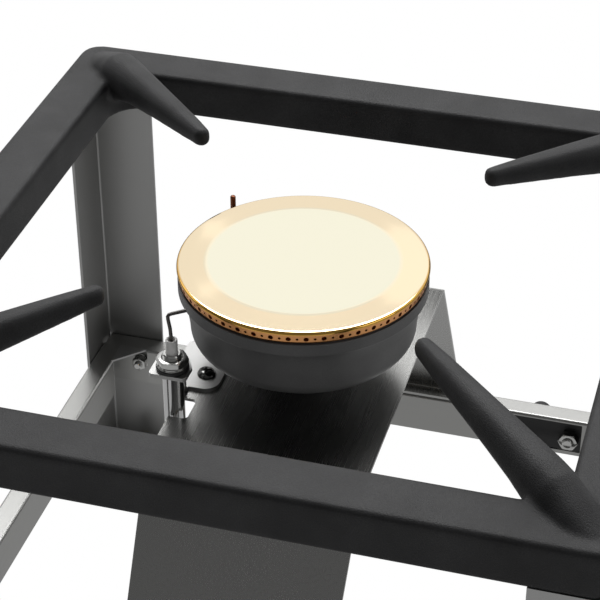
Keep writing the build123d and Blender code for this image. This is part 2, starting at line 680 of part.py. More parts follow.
with BuildPart() as grate:
    with BuildSketch(Plane.XY.offset(GRATE_UNDER)):
        RectangleRounded(FRAME_SIDE, FRAME_SIDE, GRATE_CORNER_R)
        RectangleRounded(FRAME_SIDE - 2 * GRATE_BAR, FRAME_SIDE - 2 * GRATE_BAR, GRATE_INNER_R, mode=Mode.SUBTRACT)
    extrude(amount=GRATE_DEPTH)
    brow = grate.edges().group_by(Axis.Z)[-1]
    fillet(brow, GRATE_EDGE_R)
    brim = grate.edges().group_by(Axis.Z)[0]
    fillet(brim, GRATE_EDGE_R * 0.6)
    # the bars are cast hollow from below, solid at the corners
    for turn in (0, 90, 180, 270):
        way = Vector(0, 1, 0).rotate(Axis.Z, turn)
        middle = way * (HALF - GRATE_BAR / 2)
        with BuildSketch(Plane(origin=(middle.X, middle.Y, GRATE_UNDER), x_dir=way, z_dir=(0, 0, 1))):
            RectangleRounded(GRATE_BAR - 2 * GRATE_WALL, FRAME_SIDE - 2 * GRATE_CORNER_SOLID, 3.0)
        extrude(amount=GRATE_DEPTH - GRATE_WALL, mode=Mode.SUBTRACT)

with BuildPart() as finger:
    root_top = FINGER_ROOT_RISE
    root_bottom = FINGER_ROOT_RISE - FINGER_ROOT_DEPTH
    tip_top = FINGER_TIP_RISE
    tip_bottom = FINGER_TIP_RISE - FINGER_TIP_DEPTH
    heel_bottom = FINGER_HEEL_RISE - GRATE_DEPTH / 2
    root_ridge = FINGER_ROOT_WIDTH * 0.86
    tip = finger_section(FINGER_TIP_AT, FINGER_TIP_WIDTH * 0.62, FINGER_TIP_WIDTH, tip_top, tip_bottom)
    root = finger_section(FINGER_ROOT_AT, root_ridge, FINGER_ROOT_WIDTH, root_top, root_bottom)
    heel = finger_section(FINGER_HEEL_AT, root_ridge, FINGER_ROOT_WIDTH, FINGER_HEEL_RISE, heel_bottom)
    loft([tip, root], ruled=True)
    loft([root, heel], ruled=True)
    ridges = [e for e in finger.edges() if abs(e.tangent_at(0.5).dot(Vector(TIE, TIE, 0))) > 0.9]
    fillet(ridges, 1.6)
    nose = finger.faces().sort_by(Axis((0, 0, 0), (TIE, TIE, 0)))[0]
    fillet(nose.edges(), 1.5)

GRATE_SEATS = [(sx * FOOT_AT, sy * FOOT_AT) for _, sx, sy in corner_signs()]
with BuildPart() as grate_whole:
    add(grate.part)
    add(finger.part)
    mirrored = finger.part.mirror(Plane.YZ)
    add(mirrored)
    add(finger.part.mirror(Plane.XZ))
    add(mirrored.mirror(Plane.XZ))
    with BuildSketch(Plane.XY.offset(GRATE_UNDER)):
        with Locations(*GRATE_SEATS):
            Circle(GRATE_LUG_R)
    extrude(amount=-GRATE_LUG, taper=3.0)
save(grate_whole.part, "grate")

# ---------------------------------------------------------------- burner

with BuildPart() as burner_bowl:
    shoulder_z = BRIDGE_TOP
    with BuildSketch(Plane.XZ):
        with BuildLine():
            top = RIM_Z - SEAT_GAP
            Polyline(
                (BOWL_BORE_R, top),
                (BOWL_COLLAR_R, top),
                (BOWL_COLLAR_R, RIM_Z - BOWL_COLLAR + 0.8),
                (BOWL_COLLAR_R - 0.8, RIM_Z - BOWL_COLLAR),
                (BOWL_R, RIM_Z - BOWL_COLLAR - 0.6),
                (BOWL_FOOT_R, BOWL_UNDER + BOWL_ROUND),
            )
            RadiusArc((BOWL_FOOT_R, BOWL_UNDER + BOWL_ROUND), (BOWL_FOOT_R - BOWL_ROUND, BOWL_UNDER), BOWL_ROUND)
            Polyline(
                (BOWL_FOOT_R - BOWL_ROUND, BOWL_UNDER),
                (NECK_R, BOWL_UNDER),
                (NECK_FOOT_R, shoulder_z),
                (NECK_THREAD_R, shoulder_z),
                (NECK_THREAD_R, MIXER_END),
                (MIXER_BORE_R + 2.0, MIXER_END),
                (MIXER_BORE_R, MIXER_END + 5.0),
                (MIXER_BORE_R, BOWL_UNDER + 20.0),
                (MIXER_BORE_R + 5.0, BOWL_UNDER + 20.0),
                (MIXER_BORE_R + 7.0, BOWL_UNDER + BOWL_WALL),
                (BOWL_BORE_R - BOWL_ROUND + 2.0, BOWL_UNDER + BOWL_WALL),
            )
            RadiusArc(
                (BOWL_BORE_R - BOWL_ROUND + 2.0, BOWL_UNDER + BOWL_WALL),
                (BOWL_BORE_R, BOWL_UNDER + BOWL_WALL + BOWL_ROUND - 2.0),
                -(BOWL_ROUND - 2.0),
            )
            Line((BOWL_BORE_R, BOWL_UNDER + BOWL_WALL + BOWL_ROUND - 2.0), (BOWL_BORE_R, top))
        make_face()
    revolve(axis=Axis.Z)
save(burner_bowl.part, "burner_bowl")

with BuildPart() as port_ring:
    with BuildSketch(Plane.XZ):
        with BuildLine():
            Polyline(
                (RING_BORE_R, RING_TOP),
                (RING_OUTER_R, RING_TOP),
                (RING_FOOT_R, RIM_Z),
                (RING_SPIGOT_R, RIM_Z),
                (RING_SPIGOT_R, RIM_Z - RING_SPIGOT),
                (RING_BORE_R, RIM_Z - RING_SPIGOT),
                close=True,
            )
        make_face()
    revolve(axis=Axis.Z)
    # one row of large ports with a pilot port between each pair
    port_z = RIM_Z + RING_HEIGHT * 0.5
    step = 360.0 / PORT_COUNT
    for start, radius in ((0.0, PORT_R), (step / 2, PILOT_PORT_R)):
        for n in range(PORT_COUNT):
            turn = radians(start + n * step)
            aim = Vector(cos(turn), sin(turn), 0)
            with BuildSketch(Plane(origin=aim * (RING_BORE_R - 1) + Vector(0, 0, port_z), z_dir=aim)):
                Circle(radius)
            extrude(amount=RING_OUTER_R - RING_BORE_R + 2, mode=Mode.SUBTRACT)
save(port_ring.part, "port_ring")

with BuildPart() as burner_cap:
    with BuildSketch(Plane.XZ):
        with BuildLine():
            Polyline(
                (0, RING_TOP - CAP_SPIGOT + CAP_SPIGOT_WALL),
                (CAP_SPIGOT_R - CAP_SPIGOT_WALL, RING_TOP - CAP_SPIGOT + CAP_SPIGOT_WALL),
                (CAP_SPIGOT_R - CAP_SPIGOT_WALL, RING_TOP - CAP_SPIGOT),
                (CAP_SPIGOT_R, RING_TOP - CAP_SPIGOT),
                (CAP_SPIGOT_R, RING_TOP),
                (CAP_R, RING_TOP),
                (CAP_R, CAP_EDGE_Z),
            )
            Spline(
                (CAP_R, CAP_EDGE_Z),
                (CAP_CROWN_R, CAP_EDGE_Z + CAP_CROWN * 0.8),
                (0, CAP_EDGE_Z + CAP_CROWN),
                tangents=((-1, 0.16), (-1, 0)),
            )
            Line((0, CAP_EDGE_Z + CAP_CROWN), (0, RING_TOP - CAP_SPIGOT + CAP_SPIGOT_WALL))
        make_face()
    revolve(axis=Axis.Z)
    fillet(burner_cap.edges().filter_by(GeomType.CIRCLE).filter_by(lambda e: abs(e.radius - CAP_R) < 0.01), 0.4)
save(burner_cap.part, "burner_cap")

with BuildPart() as burner_lock_nut:
    with BuildSketch(Plane.XY.offset(BRIDGE_UNDER - CRADLE_SHEET)):
        RegularPolygon(LOCK_NUT_FLATS / 2, 6, major_radius=False, rotation=30)
        Circle(NECK_THREAD_R, mode=Mode.SUBTRACT)
    extrude(amount=-LOCK_NUT)
save(burner_lock_nut.part, "burner_lock_nut")

with BuildPart() as air_shutter:
    with BuildSketch(Plane.XY.offset(MIXER_END)):
        Circle(NECK_THREAD_R + SHUTTER_FIT + SHUTTER_WALL)
        Circle(NECK_THREAD_R + SHUTTER_FIT, mode=Mode.SUBTRACT)
    extrude(amount=SHUTTER_HEIGHT)
    with BuildSketch(Plane.XY.offset(MIXER_END)):
        Circle(NECK_THREAD_R + SHUTTER_FIT + SHUTTER_WALL + 2.5)
        Circle(NECK_THREAD_R + SHUTTER_FIT, mode=Mode.SUBTRACT)
    extrude(amount=SHUTTER_WALL)
save(air_shutter.part, "air_shutter")

with BuildPart() as injector_bracket:
    cradle_face = [
        (-CRADLE_EAR, CRADLE_TOP - CRADLE_SHEET),
        (-CRADLE_EAR, BRIDGE_UNDER),
        (CRADLE_EAR, BRIDGE_UNDER),
        (CRADLE_EAR, CRADLE_TOP - CRADLE_SHEET),
    ]
    back_edge = Plane.XZ.offset(-CRADLE_WIDTH / 2)
    extrude(folded(back_edge, cradle_face, CRADLE_SHEET, CRADLE_SHEET + 1.0, Side.RIGHT), amount=CRADLE_WIDTH)
    with BuildSketch(Plane.XY.offset(CRADLE_TOP - CRADLE_SHEET)):
        Rectangle(2 * CRADLE_EAR, CRADLE_WIDTH)
        Circle(INJECTOR_THREAD_R + 0.2, mode=Mode.SUBTRACT)
    extrude(amount=CRADLE_SHEET)
    with BuildSketch(Plane.XY.offset(BRIDGE_UNDER)):
        Circle(NECK_THREAD_R + NECK_HOLE_CLEAR)
    extrude(amount=-2 * CRADLE_SHEET, mode=Mode.SUBTRACT)
save(injector_bracket.part, "injector_bracket")

with BuildPart() as injector:
    with BuildSketch(Plane.XY.offset(CRADLE_TOP)):
        RegularPolygon(INJECTOR_FLATS / 2, 6, major_radius=False)
    extrude(amount=INJECTOR_HEX)
    with BuildSketch(Plane.XY.offset(CRADLE_TOP + INJECTOR_HEX)):
        Circle(INJECTOR_FLATS / 2 - 1.0)
    extrude(amount=INJECTOR_NOSE, taper=18.0)
    with BuildSketch(Plane.XY.offset(CRADLE_TOP)):
        Circle(INJECTOR_THREAD_R)
    extrude(amount=-INJECTOR_THREAD)
    with BuildSketch(Plane.XY.offset(CRADLE_TOP - INJECTOR_THREAD)):
        Circle(PORT_BORE_R)
    extrude(amount=INJECTOR_THREAD + INJECTOR_HEX, mode=Mode.SUBTRACT)
    with BuildSketch(Plane.XY.offset(CRADLE_TOP)):
        Circle(INJECTOR_ORIFICE_R)
    extrude(amount=INJECTOR_HEX + INJECTOR_NOSE, mode=Mode.SUBTRACT)
save(injector.part, "injector")

HOLDER_TOP = CRADLE_TOP - CRADLE_SHEET
PORT_Z = HOLDER_TOP - HOLDER_LENGTH / 2
PIPE_END_Y = -HOLDER_STEM
with BuildPart() as injector_holder:
    with BuildSketch(Plane.XY.offset(HOLDER_TOP)):
        RegularPolygon(HOLDER_FLATS / 2, 6, major_radius=False)
    extrude(amount=-HOLDER_LENGTH)
    with BuildSketch(Plane.XZ.offset(0)):
        with Locations((0, PORT_Z)):
            Circle(HOLDER_STEM_R)
    extrude(amount=HOLDER_STEM)
    with BuildSketch(Plane.XY.offset(HOLDER_TOP)):
        Circle(INJECTOR_THREAD_R)
    extrude(amount=-INJECTOR_THREAD + CRADLE_SHEET, mode=Mode.SUBTRACT)
    with BuildSketch(Plane.XY.offset(HOLDER_TOP)):
        Circle(PORT_BORE_R)
    extrude(amount=PORT_Z - HOLDER_TOP, mode=Mode.SUBTRACT)
    with BuildSketch(Plane.XZ.offset(0)):
        with Locations((0, PORT_Z)):
            Circle(PORT_BORE_R)
    extrude(amount=HOLDER_STEM, mode=Mode.SUBTRACT)
save(injector_holder.part, "injector_holder")

# ---------------------------------------------------------------- electrode

# foot on the bridge, narrow upright behind the tube, level tab with the tube's hole
with BuildPart() as electrode_bracket:
    with BuildSketch(Plane.XY.offset(BRIDGE_TOP)) as arm_foot:
        with Locations(((ARM_LEFT + ARM_FOOT_RIGHT) / 2, (ARM_FOOT_FRONT + ARM_FOOT_BACK) / 2)):
            Rectangle(ARM_FOOT_RIGHT - ARM_LEFT, ARM_FOOT_BACK - ARM_FOOT_FRONT)
        corners = arm_foot.vertices().sort_by_distance((ARM_FOOT_RIGHT, ARM_FOOT_FRONT))
        fillet(corners[0], ARM_FOOT_R)
        others = arm_foot.vertices().sort_by_distance((ARM_FOOT_RIGHT, ARM_FOOT_FRONT))[2:]
        fillet(others, ARM_FOOT_SMALL_R)
        with Locations((ARM_SCREW_X, ARM_SCREW_Y)):
            Circle(ARM_SCREW_R, mode=Mode.SUBTRACT)
    extrude(amount=ARM_SHEET)
    arm_under = [
        (ARM_FOOT_FRONT + 2 * ARM_FOOT_SMALL_R, BRIDGE_TOP),
        (ARM_UPRIGHT_Y, BRIDGE_TOP),
        (ARM_UPRIGHT_Y, TAB_UNDER),
        (TAB_FRONT + TAB_CORNER_R, TAB_UNDER),
    ]
    arm_edge = Plane.YZ.offset(ARM_UPRIGHT_LEFT)
    arm_section = folded(arm_edge, arm_under, ARM_SHEET, [ARM_BEND + ARM_SHEET, ARM_BEND], Side.RIGHT)
    extrude(arm_section, amount=ARM_UPRIGHT_RIGHT - ARM_UPRIGHT_LEFT)
    with BuildSketch(Plane.XY.offset(TAB_UNDER)) as arm_tab:
        tab_back = ARM_UPRIGHT_Y - ARM_BEND
        with BuildLine():
            Polyline(
                (ARM_LEFT, tab_back),
                (ARM_LEFT, TAB_FRONT),
                (TAB_RIGHT, TAB_FRONT),
                (TAB_RIGHT, tab_back - TAB_CUT_Y),
                (TAB_RIGHT - TAB_CUT_X, tab_back),
                close=True,
            )
        make_face()
        fillet(arm_tab.vertices().group_by(Axis.Y)[0], TAB_CORNER_R)
        with Locations((ELECTRODE_X, ELECTRODE_Y)):
            Circle(ELECTRODE_THREAD_R, mode=Mode.SUBTRACT)
    extrude(amount=ARM_SHEET)
    with BuildSketch(Plane.XY.offset(TAB_UNDER)):
        with Locations((ELECTRODE_X, ELECTRODE_Y)):
            Circle(ELECTRODE_THREAD_R)
    extrude(amount=ARM_SHEET, mode=Mode.SUBTRACT)
save(electrode_bracket.part, "electrode_bracket")

with BuildPart() as bracket_screw:
    screw_seat = BRIDGE_TOP + ARM_SHEET
    with BuildSketch(Plane.XY.offset(screw_seat)):
        with Locations((ARM_SCREW_X, ARM_SCREW_Y)):
            Circle(ARM_SCREW_HEAD_R)
    extrude(amount=ARM_SCREW_HEAD)
    fillet(bracket_screw.edges().group_by(Axis.Z)[-1], ARM_SCREW_HEAD * 0.75)
    with BuildSketch(Plane.XY.offset(screw_seat)):
        with Locations((ARM_SCREW_X, ARM_SCREW_Y)):
            Circle(ARM_SCREW_R)
    extrude(amount=-ARM_SHEET - BRIDGE_SHEET - 6.0)
    with BuildSketch(Plane.XY.offset(screw_seat + ARM_SCREW_HEAD)):
        with Locations((ARM_SCREW_X, ARM_SCREW_Y)):
            Rectangle(ARM_SCREW_SLOT, 1.3, rotation=20)
            Rectangle(1.3, ARM_SCREW_SLOT, rotation=20)
    extrude(amount=-1.7, taper=12.0, mode=Mode.SUBTRACT)
save(bracket_screw.part, "bracket_screw")

with BuildPart() as fibre_washer:
    with BuildSketch(Plane.XY.offset(TAB_TOP)):
        with Locations((ELECTRODE_X, ELECTRODE_Y)):
            Circle(FIBRE_WASHER_R)
            Circle(ELECTRODE_THREAD_R, mode=Mode.SUBTRACT)
    extrude(amount=FIBRE_WASHER)
save(fibre_washer.part, "fibre_washer")

TUBE_TOP = TAB_UNDER
WASHER_Z = TAB_TOP + FIBRE_WASHER
NUT_Z = WASHER_Z + ELECTRODE_WASHER
with BuildPart() as electrode_nut:
    with BuildSketch(Plane.XY.offset(WASHER_Z)):
        with Locations((ELECTRODE_X, ELECTRODE_Y)):
            Circle(ELECTRODE_WASHER_R)
            Circle(ELECTRODE_THREAD_R, mode=Mode.SUBTRACT)
    extrude(amount=ELECTRODE_WASHER)
    with BuildSketch(Plane.XY.offset(NUT_Z)):
        with Locations((ELECTRODE_X, ELECTRODE_Y)):
            RegularPolygon(ELECTRODE_NUT_FLATS / 2, 6, major_radius=False, rotation=10)
            Circle(ELECTRODE_THREAD_R, mode=Mode.SUBTRACT)
    extrude(amount=ELECTRODE_NUT)
save(electrode_nut.part, "electrode_nut")

with BuildPart() as electrode_collar:
    with BuildSketch(Plane.XY.offset(TAB_TOP + ELECTRODE_COLLAR_RISE)):
        with Locations((ELECTRODE_X, ELECTRODE_Y)):
            Circle(ELECTRODE_THREAD_R)
            Circle(INSULATOR_R, mode=Mode.SUBTRACT)
    extrude(amount=-ELECTRODE_COLLAR_RISE - ARM_SHEET - COLLAR_IN_TUBE)
save(electrode_collar.part, "electrode_collar")

with BuildPart() as electrode_tube:
    with BuildSketch(Plane.XY.offset(TUBE_TOP)):
        with Locations((ELECTRODE_X, ELECTRODE_Y)):
            Circle(TUBE_R)
            Circle(TUBE_R - TUBE_WALL, mode=Mode.SUBTRACT)
    extrude(amount=-TUBE_LENGTH)
save(electrode_tube.part, "electrode_tube")

WIRE_FOOT = TAB_TOP + INSULATOR_RISE - 8.0
TERMINAL_Z = TUBE_TOP - TUBE_LENGTH - 4.0
with BuildPart() as electrode_insulator:
    with BuildSketch(Plane.XY.offset(TAB_TOP + INSULATOR_RISE)):
        with Locations((ELECTRODE_X, ELECTRODE_Y)):
            Circle(INSULATOR_R)
    extrude(amount=TERMINAL_Z - TAB_TOP - INSULATOR_RISE)
    chamfer(electrode_insulator.edges().group_by(Axis.Z)[-1], 0.7)
    with BuildSketch(Plane.XY.offset(TAB_TOP + INSULATOR_RISE)):
        with Locations((ELECTRODE_X, ELECTRODE_Y)):
            Circle(WIRE_R)
    extrude(amount=WIRE_FOOT - TAB_TOP - INSULATOR_RISE, mode=Mode.SUBTRACT)
save(electrode_insulator.part, "electrode_insulator")

# spark wire: up out of the ceramic, then bent level towards the rim of the burner
WIRE_TOP = TAB_TOP + INSULATOR_RISE + WIRE_RISE_ABOVE
with BuildPart() as electrode_wire:
    with BuildLine():
        FilletPolyline(
            (ELECTRODE_X, ELECTRODE_Y, WIRE_FOOT),
            (ELECTRODE_X, ELECTRODE_Y, TAB_TOP + INSULATOR_RISE),
            (ELECTRODE_X + WIRE_LEAN[0], ELECTRODE_Y + WIRE_LEAN[1], WIRE_TOP),
            (ELECTRODE_X + WIRE_TURN[0], ELECTRODE_Y + WIRE_TURN[1], WIRE_TOP + WIRE_TURN[2]),
            radius=[WIRE_BEND_R, WIRE_BEND_R],
        )
    with BuildSketch(Plane(origin=(ELECTRODE_X, ELECTRODE_Y, WIRE_FOOT), z_dir=(0, 0, 1))):
        Circle(WIRE_R - 0.15)
    sweep()
save(electrode_wire.part, "electrode_wire")

# ---------------------------------------------------------------- thermocouple

SENSOR_SPOT = Vector(SENSOR_X, SENSOR_Y)
SENSOR_TOP = GRATE_TOP - SENSOR_TIP_DROP
with BuildPart() as thermocouple:
    with BuildSketch(Plane.XY.offset(SENSOR_TOP)):
        with Locations((SENSOR_X, SENSOR_Y)):
            Circle(SENSOR_TIP_R)
    extrude(amount=-SENSOR_TIP)
    fillet(thermocouple.edges().group_by(Axis.Z)[-1], SENSOR_TIP_R * 0.6)
    with BuildSketch(Plane.XY.offset(SENSOR_TOP - SENSOR_TIP)):
        with Locations((SENSOR_X, SENSOR_Y)):
            Circle(SENSOR_BODY_R)
    extrude(amount=SENSOR_SHELF_TOP + SENSOR_THREAD_UP - SENSOR_TOP + SENSOR_TIP)
    with BuildSketch(Plane.XY.offset(SENSOR_SHELF_TOP + SENSOR_THREAD_UP)):
        with Locations((SENSOR_X, SENSOR_Y)):
            Circle(SENSOR_THREAD_R)
    extrude(amount=-SENSOR_THREAD)
save(thermocouple.part, "thermocouple")

with BuildPart() as thermocouple_nut:
    with BuildSketch(Plane.XY.offset(SENSOR_SHELF_TOP)):
        with Locations((SENSOR_X, SENSOR_Y)):
            RegularPolygon(SENSOR_NUT_FLATS / 2, 6, major_radius=False)
            Circle(SENSOR_THREAD_R, mode=Mode.SUBTRACT)
    extrude(amount=SENSOR_NUT)
save(thermocouple_nut.part, "thermocouple_nut")

# stepped bracket: foot on the bridge, upright, shelf with the sensor's hole
with BuildPart() as thermocouple_bracket:
    shelf_under = [
        (SENSOR_FOOT_END, BRIDGE_TOP),
        (SENSOR_UPRIGHT_X, BRIDGE_TOP),
        (SENSOR_UPRIGHT_X, SENSOR_SHELF_TOP - PLATE_SHEET),
        (SENSOR_SHELF_END, SENSOR_SHELF_TOP - PLATE_SHEET),
    ]
    bracket_edge = Plane.XZ.offset(-SENSOR_Y - SENSOR_PLATE_WIDTH / 2)
    shelf_bends = [PLATE_SHEET + 1.0, 1.0]
    extrude(folded(bracket_edge, shelf_under, PLATE_SHEET, shelf_bends, Side.RIGHT), amount=SENSOR_PLATE_WIDTH)
    with BuildSketch(Plane.XY.offset(SENSOR_SHELF_TOP)):
        with Locations((SENSOR_X, SENSOR_Y)):
            Circle(SENSOR_THREAD_R)
    extrude(amount=-2 * PLATE_SHEET, mode=Mode.SUBTRACT)
    # rivet that holds the foot to the bridge
    with BuildSketch(Plane.XY.offset(BRIDGE_UNDER)):
        with Locations((SENSOR_FOOT_SCREW_X, SENSOR_Y)):
            Circle(RIVET_R)
    extrude(amount=BRIDGE_SHEET + PLATE_SHEET + 1.2)
    with BuildSketch(Plane.XY.offset(BRIDGE_TOP + PLATE_SHEET)):
        with Locations((SENSOR_FOOT_SCREW_X, SENSOR_Y)):
            Circle(RIVET_HEAD_R)
    extrude(amount=1.6)
save(thermocouple_bracket.part, "thermocouple_bracket")

# ---------------------------------------------------------------- control panel

PANEL_BACK = LEG_IN
PANEL_FACE = PANEL_BACK + PANEL_SHEET
with BuildPart() as control_panel:
    panel_outside = [
        (-PANEL_FACE, PANEL_TOP),
        (-PANEL_FACE, PANEL_BOTTOM),
        (-PANEL_FACE + PANEL_FLANGE, PANEL_BOTTOM),
        (-PANEL_FACE + PANEL_FLANGE, PANEL_BOTTOM + PANEL_FLANGE / 2),
    ]
    panel_edge = Plane.YZ.offset(-PANEL_WIDTH / 2)
    extrude(folded(panel_edge, panel_outside, PANEL_SHEET, PANEL_BEND, Side.LEFT), amount=PANEL_WIDTH)
    with BuildSketch(Plane.XZ.offset(PANEL_FACE)):
        with Locations((VALVE_X, CONTROL_Z)):
            Circle(VALVE_NECK_R + 0.2)
        with Locations((IGNITER_X, CONTROL_Z)):
            Circle(IGNITER_R + 0.2)
        with Locations((-PANEL_SCREW_X, PANEL_SCREW_Z), (PANEL_SCREW_X, PANEL_SCREW_Z)):
            Circle(PANEL_SCREW_R + 0.2)
    extrude(amount=-2 * PANEL_SHEET, mode=Mode.SUBTRACT)
    corners = control_panel.edges().filter_by(Axis.Y).group_by(Axis.Z)[-1]
    fillet(corners, 4.0)
save(control_panel.part, "control_panel")

with BuildPart() as panel_screws:
    for x in (-PANEL_SCREW_X, PANEL_SCREW_X):
        with BuildSketch(Plane.XZ.offset(PANEL_FACE)):
            with Locations((x, PANEL_SCREW_Z)):
                Circle(PANEL_SCREW_R * 1.9)
        extrude(amount=2.2)
    fillet(panel_screws.edges().group_by(Axis.Y)[0], 1.3)
    for x in (-PANEL_SCREW_X, PANEL_SCREW_X):
        with BuildSketch(Plane.XZ.offset(PANEL_FACE)):
            with Locations((x, PANEL_SCREW_Z)):
                Circle(PANEL_SCREW_R)
        extrude(amount=-PANEL_SHEET - RAIL_SHEET - 6.0)
        with BuildSketch(Plane.XZ.offset(LEG_IN - RAIL_SHEET)):
            with Locations((x, PANEL_SCREW_Z)):
                RegularPolygon(3.5, 6, major_radius=False)
        extrude(amount=-3.2)
save(panel_screws.part, "panel_screws")

# ---------------------------------------------------------------- gas valve and knob


def bar_along_y(x, z, radius, start, end):
    """Round bar between two stations in front of (negative) or behind the middle."""
    with BuildSketch(Plane.XZ.offset(-start)) as section:
        with Locations((x, z)):
            Circle(radius)
    extrude(section.sketch, amount=start - end)


VALVE_FRONT = -PANEL_BACK
VALVE_BACK = VALVE_FRONT + VALVE_LENGTH
OUTLET_Z = CONTROL_Z + VALVE_OUTLET_RISE
OUTLET_Y = VALVE_FRONT + VALVE_OUTLET_AT
OUTLET_END = OUTLET_Y + VALVE_OUTLET_R + VALVE_OUTLET
INLET_Y = VALVE_FRONT + VALVE_INLET_AT
MAGNET_END = VALVE_BACK + MAGNET_LENGTH
SPINDLE_SEAT = VALVE_FRONT + SPINDLE_IN
with BuildPart() as gas_valve:
    bar_along_y(VALVE_X, CONTROL_Z, VALVE_R, VALVE_FRONT, VALVE_BACK)
    chamfer(gas_valve.edges().group_by(Axis.Y)[-1], 1.5)
    bar_along_y(VALVE_X, CONTROL_Z, VALVE_NECK_R, VALVE_FRONT, -PANEL_FACE - VALVE_NECK)
    bar_along_y(VALVE_X, CONTROL_Z, MAGNET_R, VALVE_BACK, MAGNET_END)
    # turret with the outlet, facing backwards
    with BuildSketch(Plane.XY.offset(CONTROL_Z)):
        with Locations((VALVE_X, OUTLET_Y)):
            Circle(VALVE_OUTLET_R + 1.5)
    extrude(amount=VALVE_OUTLET_RISE + VALVE_OUTLET_R)
    bar_along_y(VALVE_X, OUTLET_Z, VALVE_OUTLET_R, OUTLET_Y, OUTLET_END)
    with BuildSketch(Plane.YZ.offset(VALVE_X)):
        with Locations((INLET_Y, CONTROL_Z)):
            Circle(VALVE_INLET_R)
    extrude(amount=-VALVE_R - VALVE_INLET)
    with BuildSketch(Plane.XZ.offset(PANEL_FACE + VALVE_NECK)):
        with Locations((VALVE_X, CONTROL_Z)):
            Circle(SPINDLE_R + SPINDLE_FIT)
    extrude(amount=-(PANEL_FACE + VALVE_NECK + SPINDLE_SEAT + KNOB_PUSH + 1.0), mode=Mode.SUBTRACT)
    with BuildSketch(Plane.XZ.offset(-OUTLET_END)):
        with Locations((VALVE_X, OUTLET_Z)):
            Circle(PORT_BORE_R)
    extrude(amount=VALVE_OUTLET, mode=Mode.SUBTRACT)
    # nut that clamps the valve to the panel
    with BuildSketch(Plane.XZ.offset(PANEL_FACE)):
        with Locations((VALVE_X, CONTROL_Z)):
            RegularPolygon(PANEL_NUT_FLATS / 2, 6, major_radius=False)
            Circle(VALVE_NECK_R - 0.5, mode=Mode.SUBTRACT)
    extrude(amount=PANEL_NUT)
save(gas_valve.part, "gas_valve")

with BuildPart() as valve_spindle:
    bar_along_y(VALVE_X, CONTROL_Z, SPINDLE_R, SPINDLE_SEAT, -KNOB_FRONT + SPINDLE_END)
    with BuildSketch(Plane.XZ.offset(KNOB_FRONT - SPINDLE_END)):
        with Locations((VALVE_X, CONTROL_Z + SPINDLE_FLAT + SPINDLE_R / 2)):
            Rectangle(2 * SPINDLE_R, SPINDLE_R)
    extrude(amount=-SPINDLE_FLAT_LENGTH, mode=Mode.SUBTRACT)
save(valve_spindle.part, "valve_spindle")

KNOB_BACK = -PANEL_FACE - KNOB_GAP
COLLAR_FRONT = KNOB_BACK - KNOB_RECESS + COLLAR_GAP
with BuildPart() as spring_collar:
    with BuildSketch(Plane.XZ.offset(-COLLAR_FRONT)):
        with Locations((VALVE_X, CONTROL_Z)):
            Circle(COLLAR_R)
            Circle(SPINDLE_R + SPINDLE_FIT, mode=Mode.SUBTRACT)
    extrude(amount=-COLLAR_SHEET)
save(spring_collar.part, "spring_collar")

KNOB_FACE = -KNOB_FRONT + KNOB_GRIP_DEPTH
with BuildPart() as control_knob:
    with BuildSketch(Plane.XY.offset(CONTROL_Z)):
        with BuildLine():
            Polyline(
                (VALVE_X, KNOB_BACK),
                (VALVE_X + KNOB_SKIRT_R, KNOB_BACK),
                (VALVE_X + KNOB_SKIRT_R, KNOB_BACK - KNOB_SKIRT * 0.5),
                (VALVE_X + KNOB_R, KNOB_BACK - KNOB_SKIRT),
                (VALVE_X + KNOB_R - 1.0, KNOB_FACE),
                (VALVE_X, KNOB_FACE),
                close=True,
            )
        make_face()
    revolve(axis=Axis((VALVE_X, 0, CONTROL_Z), (0, 1, 0)))
    fillet(control_knob.edges().group_by(Axis.Y)[0], 1.5)
    # grip bar across the face
    with BuildSketch(Plane.XZ.offset(-KNOB_FACE)):
        with Locations((VALVE_X, CONTROL_Z)):
            SlotOverall(2 * KNOB_R - 3.0, KNOB_GRIP_WIDTH, rotation=90)
    extrude(amount=KNOB_GRIP_DEPTH, taper=3.0)
    fillet(control_knob.edges().group_by(Axis.Y)[0], 1.2)
    with BuildSketch(Plane.XZ.offset(-KNOB_BACK)):
        with Locations((VALVE_X, CONTROL_Z)):
            Circle(KNOB_RECESS_R)
    extrude(amount=KNOB_RECESS, mode=Mode.SUBTRACT)
    with BuildSketch(Plane.XZ.offset(-KNOB_BACK)):
        with Locations((VALVE_X, CONTROL_Z)):
            Circle(SPINDLE_R)
            with Locations((0, SPINDLE_FLAT + SPINDLE_R / 2)):
                Rectangle(2 * SPINDLE_R, SPINDLE_R, mode=Mode.SUBTRACT)
    extrude(amount=KNOB_FRONT - SPINDLE_END + KNOB_BACK, mode=Mode.SUBTRACT)
save(control_knob.part, "control_knob")

# ---------------------------------------------------------------- igniter

IGNITER_BACK = -PANEL_BACK + IGNITER_LENGTH
IGNITER_FACE = -PANEL_FACE - IGNITER_BEZEL
with BuildPart() as igniter_body:
    bar_along_y(IGNITER_X, CONTROL_Z, IGNITER_R, -PANEL_FACE, IGNITER_BACK)
    chamfer(igniter_body.edges().group_by(Axis.Y)[-1], 1.0)
    bar_along_y(IGNITER_X, CONTROL_Z, IGNITER_BEZEL_R, -PANEL_FACE, IGNITER_FACE)
    fillet(igniter_body.edges().group_by(Axis.Y)[0], 1.2)
    bar_along_y(IGNITER_X, CONTROL_Z, IGNITER_TAB_R, IGNITER_BACK, IGNITER_BACK + IGNITER_TAB)
    with BuildSketch(Plane.XZ.offset(-IGNITER_FACE)):
        with Locations((IGNITER_X, CONTROL_Z)):
            Circle(BUTTON_R + BUTTON_FIT)
    extrude(amount=-BUTTON_STEM - BUTTON_PUSH - 1.0, mode=Mode.SUBTRACT)
save(igniter_body.part, "igniter_body")

